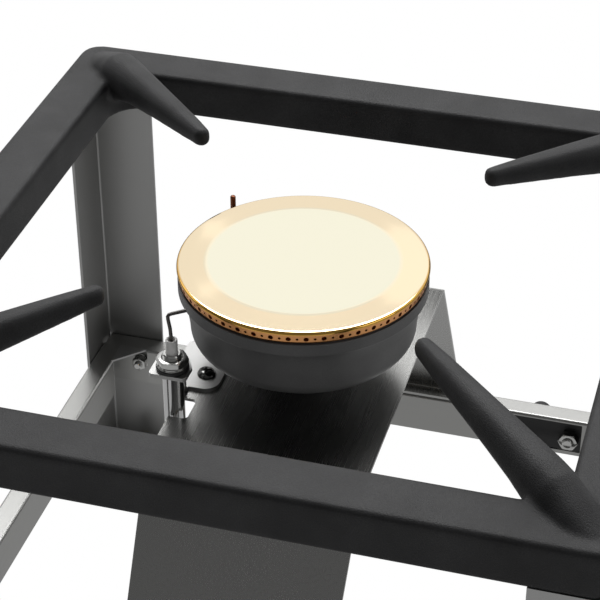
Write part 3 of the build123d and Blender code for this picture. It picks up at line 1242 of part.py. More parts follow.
with BuildPart() as igniter_button:
    bar_along_y(IGNITER_X, CONTROL_Z, BUTTON_R, IGNITER_FACE + BUTTON_STEM, IGNITER_FACE - BUTTON_OUT)
    fillet(igniter_button.edges().group_by(Axis.Y)[0], 1.5)
save(igniter_button.part, "igniter_button")

with BuildPart() as igniter_nut:
    with BuildSketch(Plane.XZ.offset(PANEL_BACK)):
        with Locations((IGNITER_X, CONTROL_Z)):
            RegularPolygon(IGNITER_NUT_FLATS / 2, 6, major_radius=False)
            Circle(IGNITER_R, mode=Mode.SUBTRACT)
    extrude(amount=-IGNITER_NUT)
save(igniter_nut.part, "igniter_nut")

# ---------------------------------------------------------------- pipes and leads


def follow(points, radii, section_radius, bore=0.0):
    """Tube along straight runs joined by tangent arcs."""
    route = [Vector(*p) for p in points]
    with BuildLine() as run:
        FilletPolyline(*route, radius=radii)
    with BuildSketch(Plane(origin=route[0], z_dir=route[1] - route[0])) as section:
        Circle(section_radius)
        if bore:
            Circle(bore, mode=Mode.SUBTRACT)
    sweep(section.sketch, path=run.line)


def lead_radii(points):
    """Radius at each corner: as large as the shorter of its two runs allows."""
    route = [Vector(*p) for p in points]
    radii = []
    for before, here, after in zip(route, route[1:], route[2:]):
        turn = (here - before).get_angle(after - here)
        shorter = min((here - before).length, (after - here).length)
        radii.append(0.45 * shorter / tan(radians(turn / 2)))
    return radii


def route_length(points, radii):
    route = [Vector(*p) for p in points]
    length = sum((b - a).length for a, b in zip(route, route[1:]))
    for before, here, after, radius in zip(route, route[1:], route[2:], radii):
        turn = radians((here - before).get_angle(after - here))
        length += radius * turn - 2 * radius * tan(turn / 2)
    return length


def report(name, piece, points, radii, section):
    length = route_length(points, radii)
    ratio = piece.volume / (section * length)
    print(name, "radii", [round(r, 1) for r in radii], "length", round(length, 1), "volume ratio", round(ratio, 4))


PIPE_ROUTE = [
    (VALVE_X, OUTLET_END, OUTLET_Z),
    (VALVE_X, OUTLET_END + PIPE_OUT, OUTLET_Z),
    (0, PIPE_END_Y - PIPE_IN, PORT_Z),
    (0, PIPE_END_Y, PORT_Z),
]
with BuildPart() as burner_pipe:
    follow(PIPE_ROUTE, PIPE_BEND_R, PIPE_R, PIPE_R - PIPE_WALL)
save(burner_pipe.part, "burner_pipe")

with BuildPart() as pipe_nuts:
    for plane in (
        Plane(origin=(VALVE_X, OUTLET_END, OUTLET_Z), x_dir=(1, 0, 0), z_dir=(0, 1, 0)),
        Plane(origin=(0, PIPE_END_Y, PORT_Z), x_dir=(1, 0, 0), z_dir=(0, -1, 0)),
    ):
        with BuildSketch(plane):
            RegularPolygon(PIPE_NUT_FLATS / 2, 6, major_radius=False)
            Circle(PIPE_R, mode=Mode.SUBTRACT)
        extrude(amount=PIPE_NUT)
    with BuildSketch(Plane.YZ.offset(VALVE_X - VALVE_R - VALVE_INLET)):
        with Locations((INLET_Y, CONTROL_Z)):
            RegularPolygon(INLET_PIPE_NUT_FLATS / 2, 6, major_radius=False)
            Circle(INLET_PIPE_R, mode=Mode.SUBTRACT)
    extrude(amount=-PIPE_NUT)
save(pipe_nuts.part, "pipe_nuts")

SHANK_END = LEG_IN - RAIL_SHEET - INLET_SHANK
INLET_ROUTE = [
    (VALVE_X - VALVE_R - VALVE_INLET, INLET_Y, CONTROL_Z),
    (INLET_X, INLET_Y, CONTROL_Z),
    (INLET_X, SHANK_END, CONTROL_Z),
]
with BuildPart() as inlet_pipe:
    follow(INLET_ROUTE, INLET_BEND_R, INLET_PIPE_R, INLET_PIPE_R - 1.0)
save(inlet_pipe.part, "inlet_pipe")

with BuildPart() as inlet_fitting:
    with BuildSketch(Plane.XZ.offset(-LEG_IN)):
        with Locations((INLET_X, CONTROL_Z)):
            RegularPolygon(INLET_FLATS / 2, 6, major_radius=False)
    extrude(amount=-INLET_HEX)
    bar_along_y(INLET_X, CONTROL_Z, INLET_THREAD_R, LEG_IN + INLET_HEX, INLET_END)
    chamfer(inlet_fitting.edges().group_by(Axis.Y)[-1], 1.0)
    bar_along_y(INLET_X, CONTROL_Z, INLET_SHANK_R, LEG_IN, SHANK_END)
    with BuildSketch(Plane.XZ.offset(-INLET_END)):
        with Locations((INLET_X, CONTROL_Z)):
            Circle(INLET_BORE_R)
    extrude(amount=INLET_END - LEG_IN + 4.0, mode=Mode.SUBTRACT)
    with BuildSketch(Plane.XZ.offset(-INLET_END)):
        with Locations((INLET_X, CONTROL_Z)):
            Circle(INLET_PIPE_R - 1.0)
    extrude(amount=INLET_END - SHANK_END, mode=Mode.SUBTRACT)
save(inlet_fitting.part, "inlet_fitting")

with BuildPart() as inlet_lock_nut:
    with BuildSketch(Plane.XZ.offset(-LEG_IN + RAIL_SHEET)):
        with Locations((INLET_X, CONTROL_Z)):
            RegularPolygon(INLET_NUT_FLATS / 2, 6, major_radius=False)
            Circle(INLET_SHANK_R, mode=Mode.SUBTRACT)
    extrude(amount=INLET_NUT)
save(inlet_lock_nut.part, "inlet_lock_nut")

IGNITION_ROUTE = [
    (IGNITER_X, IGNITER_BACK + IGNITER_TAB, CONTROL_Z),
    (IGNITER_X, IGNITER_BACK + IGNITER_TAB + 30.0, CONTROL_Z),
    (32.0, -112.0, 104.0),
    (0.0, -92.0, 146.0),
    (-38.0, -74.0, 176.0),
    (ELECTRODE_X, ELECTRODE_Y, 214.0),
    (ELECTRODE_X, ELECTRODE_Y, TERMINAL_Z),
]
with BuildPart() as ignition_lead:
    ignition_radii = lead_radii(IGNITION_ROUTE)
    follow(IGNITION_ROUTE, ignition_radii, IGNITION_LEAD_R)
save(ignition_lead.part, "ignition_lead")
report("ignition lead", ignition_lead.part, IGNITION_ROUTE, ignition_radii, pi * IGNITION_LEAD_R**2)

# from the sensor down through the rear notch and forward under the bridge to the valve
SENSOR_END = SENSOR_SHELF_TOP + SENSOR_THREAD_UP - SENSOR_THREAD
THERMO_ROUTE = [
    (SENSOR_X, SENSOR_Y, SENSOR_END),
    (SENSOR_X, SENSOR_Y, 282.0),
    (-72.0, 28.0, 252.0),
    (-78.0, -14.0, 214.0),
    (-74.0, -66.0, 172.0),
    (-62.0, -104.0, 126.0),
    (VALVE_X, MAGNET_END + 34.0, CONTROL_Z),
    (VALVE_X, MAGNET_END, CONTROL_Z),
]
with BuildPart() as thermocouple_lead:
    thermo_radii = lead_radii(THERMO_ROUTE)
    follow(THERMO_ROUTE, thermo_radii, LEAD_R)
save(thermocouple_lead.part, "thermocouple_lead")
report("thermocouple lead", thermocouple_lead.part, THERMO_ROUTE, thermo_radii, pi * LEAD_R**2)

# ---------------------------------------------------------------- adjustable feet

FOOT_TOP = FOOT_PAD + FOOT_HUB
for corner, sx, sy in corner_signs():
    spot = (sx * FOOT_AT, sy * FOOT_AT)
    with BuildPart() as foot:
        with BuildSketch(Plane.XY):
            with Locations(spot):
                Circle(FOOT_PAD_R)
        extrude(amount=FOOT_PAD, taper=8.0)
        with BuildSketch(Plane.XY.offset(FOOT_PAD)):
            with Locations(spot):
                Circle(FOOT_HUB_R)
        extrude(amount=FOOT_HUB, taper=10.0)
        fillet(foot.edges().group_by(Axis.Z)[0], 1.5)
        with BuildSketch(Plane.XY.offset(FOOT_TOP)):
            with Locations(spot):
                Circle(FOOT_STUD_R)
        extrude(amount=FOOT_STUD)
        chamfer(foot.edges().group_by(Axis.Z)[-1], 0.8)
    save(foot.part, f"foot_{corner}")

with BuildPart() as foot_lock_nuts:
    with BuildSketch(Plane.XY.offset(LEG_BOTTOM)):
        with Locations(*[(sx * FOOT_AT, sy * FOOT_AT) for _, sx, sy in corner_signs()]):
            RegularPolygon(FOOT_NUT_FLATS / 2, 6, major_radius=False)
            Circle(FOOT_STUD_R + FOOT_FIT, mode=Mode.SUBTRACT)
    extrude(amount=-FOOT_NUT)
save(foot_lock_nuts.part, "foot_lock_nuts")
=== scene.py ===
import json
from math import cos, pi, radians, sin, tan

import bmesh
import bpy
from mathutils import Matrix, Vector


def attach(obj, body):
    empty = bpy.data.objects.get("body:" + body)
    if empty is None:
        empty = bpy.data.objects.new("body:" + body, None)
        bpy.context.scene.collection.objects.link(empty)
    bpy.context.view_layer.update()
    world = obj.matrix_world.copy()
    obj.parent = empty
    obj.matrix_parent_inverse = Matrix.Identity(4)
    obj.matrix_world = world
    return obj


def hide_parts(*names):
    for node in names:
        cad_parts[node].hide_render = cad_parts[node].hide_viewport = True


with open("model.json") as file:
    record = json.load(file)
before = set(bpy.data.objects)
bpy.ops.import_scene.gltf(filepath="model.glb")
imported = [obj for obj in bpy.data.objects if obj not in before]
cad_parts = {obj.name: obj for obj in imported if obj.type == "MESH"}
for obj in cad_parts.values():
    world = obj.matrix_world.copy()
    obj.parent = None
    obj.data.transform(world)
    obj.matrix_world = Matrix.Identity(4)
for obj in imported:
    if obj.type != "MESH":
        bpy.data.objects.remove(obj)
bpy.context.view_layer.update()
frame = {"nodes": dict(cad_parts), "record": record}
MM = 0.001

# ---------------------------------------------------------------- camera

CAMERA_AT = (0.26456, -0.92674, 1.00046)
CAMERA_YAW = 16.06
CAMERA_DOWN = 34.14
CAMERA_ROLL = -0.21
PHOTO_WIDTH = 600.0
FOCAL_PIXELS = 1948.34
SENSOR = 36.0
NEAREST, FARTHEST = 0.01, 30.0


def place_camera():
    data = bpy.data.cameras.new("studio_camera")
    data.sensor_width = SENSOR
    data.lens = SENSOR * FOCAL_PIXELS / PHOTO_WIDTH
    data.clip_start = NEAREST
    data.clip_end = FARTHEST
    camera = bpy.data.objects.new("studio_camera", data)
    turn = Matrix.Rotation(radians(CAMERA_YAW), 4, "Z")
    tilt = Matrix.Rotation(radians(90.0 - CAMERA_DOWN), 4, "X")
    roll = Matrix.Rotation(radians(CAMERA_ROLL), 4, "Z")
    camera.matrix_world = Matrix.Translation(CAMERA_AT) @ turn @ tilt @ roll
    bpy.context.scene.collection.objects.link(camera)
    bpy.context.scene.camera = camera


# ---------------------------------------------------------------- material helpers


def linear(code):
    """sRGB hex to linear colour."""
    channels = [int(code[i:i + 2], 16) / 255.0 for i in (1, 3, 5)]
    return tuple(c / 12.92 if c <= 0.04045 else ((c + 0.055) / 1.055) ** 2.4
                 for c in channels) + (1.0,)


def add_node(material, kind, settings=None, links=None, stops=()):
    """Adds one shader node.

    Settings name properties or input sockets, links feed its inputs, and stops are the
    places and colours along a colour ramp.
    """
    tree = material.node_tree
    node = tree.nodes.new(kind)
    for key, value in (settings or {}).items():
        if key in node.inputs.keys() or isinstance(key, int):
            node.inputs[key].default_value = value
        else:
            setattr(node, key, value)
    for key, source in (links or {}).items():
        tree.links.new(source, node.inputs[key])
    if stops:
        elements = node.color_ramp.elements
        while len(elements) < len(stops):
            elements.new(0.5)
        for element, (place, colour) in zip(elements, stops):
            element.position = place
            element.color = colour
    return node


def new_material(name, colour, metallic, roughness):
    material = bpy.data.materials.new(name)
    material.use_nodes = True
    shader = material.node_tree.nodes["Principled BSDF"]
    shader.inputs["Base Color"].default_value = linear(colour)
    shader.inputs["Metallic"].default_value = metallic
    shader.inputs["Roughness"].default_value = roughness
    return material, shader


def wire(material, source, socket):
    material.node_tree.links.new(source, socket)


def object_pattern(material, sizes):
    """Object coordinates in which one unit is a size in millimetres along each axis."""
    where = add_node(material, "ShaderNodeTexCoord")
    mapping = add_node(material, "ShaderNodeMapping",
                       {"Scale": tuple(1.0 / (size * MM) for size in sizes)},
                       {"Vector": where.outputs["Object"]})
    return mapping.outputs["Vector"]


# A fine belt leaves lines under a tenth of a millimetre apart. That is too fine to show, so
# they are drawn as coarse as they need to be.
GRIND_APART = 0.5
GRIND_LENGTH = 60.0
GRIND_DEPTH = 0.05
GRIND_SMOOTHER, GRIND_ROUGHER = 0.07, 0.10


def brushed_stainless(name, colour, roughness, grain, bump=0.02):
    """Stainless sheet ground with a belt: long thin lines that spread the reflections."""
    material, shader = new_material(name, colour, 1.0, roughness)
    sizes = [GRIND_LENGTH if axis == grain else GRIND_APART for axis in "XYZ"]
    lines = add_node(material, "ShaderNodeTexNoise",
                     {"Scale": 1.0, "Detail": 3.0, "Roughness": 0.6},
                     {"Vector": object_pattern(material, sizes)})
    spread = add_node(material, "ShaderNodeMapRange",
                      {"To Min": roughness - GRIND_SMOOTHER, "To Max": roughness + GRIND_ROUGHER},
                      {"Value": lines.outputs["Fac"]})
    wire(material, spread.outputs["Result"], shader.inputs["Roughness"])
    relief = add_node(material, "ShaderNodeBump",
                      {"Strength": bump, "Distance": GRIND_DEPTH * MM},
                      {"Height": lines.outputs["Fac"]})
    wire(material, relief.outputs["Normal"], shader.inputs["Normal"])
    return material


CLOUD_SIZE = 26.0       # slow changes of tone, from the way the metal filled the mould


def cast_iron(name, colour, roughness, grain, depth, lighter, gloss=0.5):
    """Sand-cast iron: small rounded grains from the mould and slow cloudy changes of tone.

    The sand's own grains, about a quarter of a millimetre, are too fine to show, so the
    grain given is as coarse as it needs to be.
    """
    material, shader = new_material(name, colour, 0.0, roughness)
    shader.inputs["Specular IOR Level"].default_value = gloss
    grains = add_node(material, "ShaderNodeTexNoise",
                      {"Scale": 1.0, "Detail": 4.0, "Roughness": 0.62},
                      {"Vector": object_pattern(material, [grain] * 3)})
    clouds = add_node(material, "ShaderNodeTexNoise", {"Scale": 1.0, "Detail": 2.0},
                      {"Vector": object_pattern(material, [CLOUD_SIZE] * 3)})
    blend = add_node(material, "ShaderNodeMath", {"operation": "MULTIPLY"},
                     {0: grains.outputs["Fac"], 1: clouds.outputs["Fac"]})
    mix = add_node(material, "ShaderNodeMix",
                   {"data_type": "RGBA", 6: linear(colour), 7: linear(lighter)},
                   {0: blend.outputs["Value"]})
    wire(material, mix.outputs[2], shader.inputs["Base Color"])
    relief = add_node(material, "ShaderNodeBump", {"Strength": 0.6, "Distance": depth * MM},
                      {"Height": grains.outputs["Fac"]})
    wire(material, relief.outputs["Normal"], shader.inputs["Normal"])
    return material


HAZE_SIZE = 18.0        # about the width of a fingertip


def polished_metal(name, colour, roughness, haze=0.03):
    """Turned and polished metal, with a faint uneven haze from handling."""
    material, shader = new_material(name, colour, 1.0, roughness)
    cloud = add_node(material, "ShaderNodeTexNoise", {"Scale": 1.0, "Detail": 2.0},
                     {"Vector": object_pattern(material, [HAZE_SIZE] * 3)})
    spread = add_node(material, "ShaderNodeMapRange",
                      {"To Min": max(roughness - haze, 0.0), "To Max": roughness + haze},
                      {"Value": cloud.outputs["Fac"]})
    wire(material, spread.outputs["Result"], shader.inputs["Roughness"])
    return material


CAP_REACH = 76.0
# the radii where the painted reflection changes tone, at the edges of the cap's turned faces
MIDDLE_ENDS, RING_STARTS, RING_ENDS, RIM_STARTS = 56.0, 59.5, 73.3, 74.2


def brass_with_painted_reflection(name, middle, ring, rim, roughness):
    """Mirror-polished brass with a painted reflection: painted pale in the flat middle and warmer
    on the ring, where it mirrors the studio, and gold round the rim.
    """
    material, shader = new_material(name, middle, 1.0, roughness)
    where = add_node(material, "ShaderNodeTexCoord")
    flat = add_node(material, "ShaderNodeVectorMath",
                    {"operation": "MULTIPLY", 1: (1.0, 1.0, 0.0)},
                    {0: where.outputs["Object"]})
    reach = add_node(material, "ShaderNodeVectorMath", {"operation": "LENGTH"},
                     {0: flat.outputs["Vector"]})
    out = add_node(material, "ShaderNodeMapRange", {"From Min": 0.0, "From Max": CAP_REACH * MM},
                   {"Value": reach.outputs["Value"]})
    # painted reflection: the base colour steps with the radius, pale in the middle and on the ring
    # where the cap mirrors the studio
    painted_reflection_tint = add_node(material, "ShaderNodeValToRGB", links={"Fac": out.outputs["Result"]}, stops=[
        (MIDDLE_ENDS / CAP_REACH, linear(middle)), (RING_STARTS / CAP_REACH, linear(ring)),
        (RING_ENDS / CAP_REACH, linear(ring)), (RIM_STARTS / CAP_REACH, linear(rim))])
    wire(material, painted_reflection_tint.outputs["Color"], shader.inputs["Base Color"])
    return material


# A moulding tool's own texture is finer than a tenth of a millimetre. That is too fine to
# show, so it is drawn as coarse as it needs to be.
SKIN_SIZE = 0.6
SKIN_DEPTH = 0.02


def moulded(name, colour, roughness):
    """Moulded, glazed or stoved skin over plastic, rubber, ceramic or steel."""
    material, shader = new_material(name, colour, 0.0, roughness)
    skin = add_node(material, "ShaderNodeTexNoise", {"Scale": 1.0, "Detail": 2.0},
                    {"Vector": object_pattern(material, [SKIN_SIZE] * 3)})
    relief = add_node(material, "ShaderNodeBump", {"Strength": 0.4, "Distance": SKIN_DEPTH * MM},
                      {"Height": skin.outputs["Fac"]})
    wire(material, relief.outputs["Normal"], shader.inputs["Normal"])
    return material


# ---------------------------------------------------------------- finishes

# folded sheet, ground along each piece: grey metal with long soft streaks and no clear mirror image
steel_upright = brushed_stainless("brushed_stainless_upright", "#acacab", 0.42, "Z")
steel_across = brushed_stainless("brushed_stainless_across", "#a4a4a2", 0.34, "X")
steel_deep = brushed_stainless("brushed_stainless_deep", "#a4a4a2", 0.34, "Y")
# the flat sheet kept its finer mill finish: smooth tone changes that follow the bends
steel_bridge = brushed_stainless("brushed_stainless_bridge", "#a6a6a4", 0.24, "Y", 0.008)
# left as it came from the sand, then blackened: dull, grainy and soft along every edge
grate_iron = cast_iron("cast_iron_matt_black", "#1b1b1c", 0.52, 0.8, 0.45, "#545455", gloss=0.25)
# cast and then skimmed on a lathe: dark grey with a low even sheen round the wall
bowl_iron = cast_iron("cast_iron_machined_grey", "#4a4a4a", 0.44, 0.6, 0.16, "#828282")
# buffed to a mirror: a painted reflection of the pale studio colours the top and the ring, and the
# rim stays gold
cap_brass = brass_with_painted_reflection("brass_mirror_polished_painted_reflection", "#eeead4", "#fce9c7", "#dfae55", 0.07)
# drilled and warmed by the flame: a satin copper-coloured wall that makes the ports look black
port_brass = polished_metal("brass_drilled_ring", "#eaaa70", 0.36)
# turned fittings, not buffed: warm yellow with wide soft highlights
plain_brass = polished_metal("brass_turned", "#c9a25e", 0.28)
# nuts, bolts and brackets with a thin bright coat: clean edges and small sharp highlights
bright_plate = polished_metal("nickel_plated_steel", "#c4c4c2", 0.20)
# the electrode's tube: near mirror, so it reads as thin black and white stripes
chrome = polished_metal("chrome_plated_steel", "#cfcfcf", 0.10, 0.02)
# small screw with a dark zinc coat: mostly black with one bright glint
screw_steel = polished_metal("dark_zinc_plated_steel", "#5c5c5b", 0.10, 0.02)
# heat-resisting wire that has stood in the flame: brown-grey and barely shiny
dark_wire = polished_metal("heat_darkened_alloy_wire", "#5a5856", 0.38)
# sensor tip and its lead: red-brown, dulled by heat
copper_tip = polished_metal("heat_tarnished_copper", "#7c4f3a", 0.42)
# gas pipe with a thin nickel coat: a warm silver that is smoother than the sheet
pipe_plate = polished_metal("nickel_plated_copper", "#b9b7b0", 0.30)
# glass glaze over white clay: bright white with one clean highlight
white_glaze = moulded("ceramic_glazed_white", "#fdfcfa", 0.22)
# enamel baked on steel: even black with a soft sheen
black_paint = moulded("stoved_enamel_black", "#0c0c0d", 0.45)
# soft rubber: the dullest black here
black_rubber = moulded("rubber_moulded_black", "#141415", 0.60)
# hard moulded plastic that stands heat: black with a broad soft highlight
black_phenolic = moulded("phenolic_moulded_black", "#161617", 0.42)
# smooth silicone sleeve: a thin line of light along the lead
black_lead = moulded("silicone_sleeve_black", "#0f0f10", 0.38)

FINISHES = {
    "stainless": steel_upright,
    "bridge_steel": steel_bridge,
    "grate_iron": grate_iron,
    "burner_iron": bowl_iron,
    "cap_brass": cap_brass,
    "port_brass": port_brass,
    "plated": bright_plate,
    "ceramic": white_glaze,
    "wire_steel": dark_wire,
    "sensor_copper": copper_tip,
    "black_plate": black_paint,
    "black_rubber": black_rubber,
    "black_plastic": black_phenolic,
    "lead_black": black_lead,
    "brass": plain_brass,
    "copper_pipe": pipe_plate,
}
NODE_FINISHES = {       # stainless pieces whose grain doesn't run upright
    "rail_front": steel_across,
    "rail_back": steel_across,
    "rail_left": steel_deep,
    "rail_right": steel_deep,
    "control_panel": steel_across,
}
SLOT_OF = {entry["node"]: entry["material_slot"] for entry in frame["record"]["subparts"]}


def finish_cad_nodes():
    for name, node in frame["nodes"].items():
        finish = NODE_FINISHES.get(name, FINISHES[SLOT_OF[name]])
        for slot in node.material_slots:
            slot.material = finish


# ---------------------------------------------------------------- studio

FLOOR_SIZE = 8.0
FLOOR_DROP = 0.0005
WHITE = (1.0, 1.0, 1.0, 1.0)
FLOOR_IN_METAL = 0.50
AMBIENT = 0.13
ROOM_FRONT, ROOM_BACK = -0.35, 0.45     # how far a direction points to the front or the back
ROOM_TONES = [(0.0, 0.18), (0.45, 0.16), (1.0, 0.90)]
LAMPS = [  # place, aim, width and height in metres, and watts
    ("overhead_softbox", (-0.25, 1.15, 2.05), (0, 0, 0.35), (2.0, 0.7), 36.0),
    ("left_softbox", (-1.9, 0.3, 1.0), (0, 0, 0.35), (1.0, 1.2), 3.0),
    ("right_softbox", (1.9, -0.3, 1.2), (0, 0, 0.30), (1.2, 1.2), 5.0),
    # fills the cap's polished middle, from where the lens sees its mirror image
    ("back_panel", (-0.288, 1.82, 1.577), (0, 0, 0.376), (1.016, 0.393), 0.24),
]


def by_ray(material, plain, mirrored, shown):
    """One shader for plain light, one for what metal mirrors and one for the lens and glass."""
    path = add_node(material, "ShaderNodeLightPath")
    metal = add_node(material, "ShaderNodeMixShader", links={
        0: path.outputs["Is Glossy Ray"], 1: plain.outputs[0], 2: mirrored.outputs[0]})
    seen = add_node(material, "ShaderNodeMath", {"operation": "MAXIMUM"},
                    {0: path.outputs["Is Camera Ray"], 1: path.outputs["Is Transmission Ray"]})
    mix = add_node(material, "ShaderNodeMixShader", links={
        0: seen.outputs[0], 1: metal.outputs[0], 2: shown.outputs[0]})
    return mix.outputs[0]


def lay_floor():
    """The floor is pure white to the lens, paler in metal and plain paint to the light."""
    mesh = bpy.data.meshes.new("studio_floor")
    shape = bmesh.new()
    bmesh.ops.create_grid(shape, x_segments=1, y_segments=1, size=FLOOR_SIZE / 2)
    shape.to_mesh(mesh)
    shape.free()
    floor = bpy.data.objects.new("studio_floor", mesh)
    floor.location = (0, 0, -FLOOR_DROP)
    bpy.context.scene.collection.objects.link(floor)
    paint, shader = new_material("studio_floor_paint", "#e6e6e6", 0.0, 0.9)
    glow = add_node(paint, "ShaderNodeEmission", {"Color": WHITE, "Strength": 1.0})
    sheen = add_node(paint, "ShaderNodeEmission", {"Color": WHITE, "Strength": FLOOR_IN_METAL})
    surface = paint.node_tree.nodes["Material Output"].inputs["Surface"]
    wire(paint, by_ray(paint, shader, sheen, glow), surface)
    mesh.materials.append(paint)


def light_world():
    """White to the lens; metal sees it white behind the object and dim on the lens's side."""
    world = bpy.data.worlds.new("studio_world")
    bpy.context.scene.world = world
    world.use_nodes = True
    background = world.node_tree.nodes["Background"]
    background.inputs["Color"].default_value = WHITE
    background.inputs["Strength"].default_value = AMBIENT
    shown = add_node(world, "ShaderNodeBackground", {"Color": WHITE, "Strength": 1.0})
    way = add_node(world, "ShaderNodeTexCoord")
    parts = add_node(world, "ShaderNodeSeparateXYZ", links={0: way.outputs["Generated"]})
    depth = add_node(world, "ShaderNodeMapRange", {"From Min": ROOM_FRONT, "From Max": ROOM_BACK},
                     {"Value": parts.outputs["Y"]})
    room = add_node(world, "ShaderNodeValToRGB", links={"Fac": depth.outputs["Result"]},
                    stops=[(place, (tone, tone, tone, 1.0)) for place, tone in ROOM_TONES])
    studio = add_node(world, "ShaderNodeBackground", {"Strength": 1.0},
                      {"Color": room.outputs["Color"]})
    surface = world.node_tree.nodes["World Output"].inputs["Surface"]
    wire(world, by_ray(world, background, studio, shown), surface)


def hang_lamp(name, at, aim, size, power):
    data = bpy.data.lights.new(name, "AREA")
    data.shape = "RECTANGLE"
    data.size, data.size_y = size
    data.energy = power
    lamp = bpy.data.objects.new(name, data)
    lamp.location = at
    lamp.rotation_euler = (Vector(aim) - Vector(at)).to_track_quat("-Z", "Y").to_euler()
    bpy.context.scene.collection.objects.link(lamp)


def light_studio():
    light_world()
    lay_floor()
    for lamp in LAMPS:
        hang_lamp(*lamp)


# ---------------------------------------------------------------- piece helpers

ROUND_STEPS = 64
FINE_STEPS = 128
HEAD_STEPS = 48
NUT_STEPS = 60
HEX_SIDE = 60.0         # angle that one side of a nut spans
NUT_BEVEL = 30.0        # angle of the chamfer on a nut's corners
NUT_FACE = 0.96         # share of the flats that a nut's round face takes
THREAD_DEPTH = 0.55     # share of the pitch
DOUBLE = 0.002 * MM     # points closer than this are one


def clean(shape):
    """Merges doubled points, then turns every face outwards."""
    bmesh.ops.remove_doubles(shape, verts=shape.verts, dist=DOUBLE)
    bmesh.ops.recalc_face_normals(shape, faces=shape.faces)


def add_piece(name, shape, finish, body, replaced, crease=35.0):
    """Turns a finished bmesh into a piece of the range that rides on a body."""
    bmesh.ops.remove_doubles(shape, verts=shape.verts, dist=DOUBLE)
    bmesh.ops.dissolve_degenerate(shape, edges=shape.edges, dist=DOUBLE / 2)
    bmesh.ops.recalc_face_normals(shape, faces=shape.faces)
    mesh = bpy.data.meshes.new(name)
    shape.to_mesh(mesh)
    shape.free()
    for face in mesh.polygons:
        face.use_smooth = True
    mesh.set_sharp_from_angle(angle=radians(crease))
    mesh.materials.append(finish)
    piece = bpy.data.objects.new(name, mesh)
    bpy.context.scene.collection.objects.link(piece)
    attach(piece, body)
    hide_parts(*replaced)


def standing(at, way=(0, 0, 1), across=(1, 0, 0), turn=0.0):
    """Place at a point in millimetres, with local Z along one direction.

    Local X is as near as it can be to another direction, then turned by an angle in degrees.
    """
    up = Vector(way).normalized()
    side = Vector(across) - up * Vector(across).dot(up)
    side.normalize()
    third = up.cross(side)
    axes = Matrix((side, third, up)).transposed().to_4x4()
    return Matrix.Translation(Vector(at) * MM) @ axes @ Matrix.Rotation(radians(turn), 4, "Z")


def join(shape, own, place):
    """Moves a part drawn at the middle to its place and adds it to a larger shape."""
    bmesh.ops.transform(own, matrix=place, verts=own.verts)
    clean(own)
    mesh = bpy.data.meshes.new("part")
    own.to_mesh(mesh)
    own.free()
    shape.from_mesh(mesh)
    bpy.data.meshes.remove(mesh)


def turned(profile, steps=ROUND_STEPS, closed=False):
    """A profile of (radius, height) points in millimetres spun about Z."""
    own = bmesh.new()
    points = [own.verts.new((r * MM, 0, z * MM)) for r, z in profile]
    pairs = list(zip(points, points[1:]))
    if closed:
        pairs.append((points[-1], points[0]))
    edges = [own.edges.new(pair) for pair in pairs]
    bmesh.ops.spin(own, geom=points + edges, cent=(0, 0, 0), axis=(0, 0, 1), dvec=(0, 0, 0),
                   angle=2 * pi, steps=steps, use_merge=True, use_normal_flip=False,
                   use_duplicate=False)
    return own


def arc(centre, radius, start, end, steps):
    """Points of a profile's rounding, angles in degrees."""
    spread = [radians(start + (end - start) * n / steps) for n in range(steps + 1)]
    return [(centre[0] + radius * cos(a), centre[1] + radius * sin(a)) for a in spread]


def section(own, steps):
    """A unit circle in a bmesh, ready to be shaped: its points and its edges."""
    points = bmesh.ops.create_circle(own, segments=steps, radius=1.0)["verts"]
    return points, list(dict.fromkeys(edge for point in points for edge in point.link_edges))


def bridged(own, rims):
    """Bridges each section to the next and closes both ends."""
    for near, far in zip(rims, rims[1:]):
        bmesh.ops.bridge_loops(own, edges=near + far)
    bmesh.ops.holes_fill(own, edges=rims[0] + rims[-1])
    return own


def tube_along(path, radius, steps=16):
    """Round bar through a run of points in millimetres."""
    own = bmesh.new()
    rims = []
    side = (0, 1, 0)
    last = len(path) - 1
    for n, point in enumerate(path):
        way = Vector(path[min(n + 1, last)]) - Vector(path[max(n - 1, 0)])
        place = standing(point, way, side)
        side = place.col[0].xyz
        points, edges = section(own, steps)
        bmesh.ops.transform(own, matrix=place @ Matrix.Scale(radius * MM, 4), verts=points)
        rims.append(edges)
    return bridged(own, rims)


def shape_object(shape):
    """A blank that modifiers can work on."""
    mesh = bpy.data.meshes.new("blank")
    clean(shape)
    shape.to_mesh(mesh)
    shape.free()
    blank = bpy.data.objects.new("blank", mesh)
    bpy.context.scene.collection.objects.link(blank)
    return blank


def settled(blank, *extra):
    """The blank's shape with its modifiers worked in, as a bmesh; the blanks are cleared away."""
    view = bpy.context.evaluated_depsgraph_get()
    mesh = bpy.data.meshes.new_from_object(blank.evaluated_get(view))
    shape = bmesh.new()
    shape.from_mesh(mesh)
    bpy.data.meshes.remove(mesh)
    for used in (blank,) + extra:
        data = used.data
        bpy.data.objects.remove(used)
        bpy.data.meshes.remove(data)
    return shape


def carve(shape, cutter):
    """Takes a cutting shape out of a solid one."""
    blank, tool = shape_object(shape), shape_object(cutter)
    cut = blank.modifiers.new("cut", "BOOLEAN")
    cut.object = tool
    cut.operation = "DIFFERENCE"
    cut.solver = "EXACT"
    return settled(blank, tool)


def block(size, at=(0, 0, 0), turn=0.0):
    """Box of a size in millimetres about a point."""
    own = bmesh.new()
    bmesh.ops.create_cube(own, size=MM)
    stretch = Matrix.Diagonal((*size, 1.0))
    bmesh.ops.transform(own, matrix=standing(at, turn=turn) @ stretch, verts=own.verts)
    return own


def rounded(shape, edges, radius, segments):
    """Rounds some of a shape's edges."""
    bmesh.ops.bevel(shape, geom=edges, offset=radius * MM, offset_type="OFFSET",
                    segments=segments, profile=0.5, affect="EDGES", material=-1,
                    clamp_overlap=True)
    return shape


def hexagon_radius(flats, angle):
    """Distance from the middle to the side of a hexagon, at an angle in degrees from a corner."""
    return flats / 2 / cos(radians((angle % HEX_SIDE) - HEX_SIDE / 2))


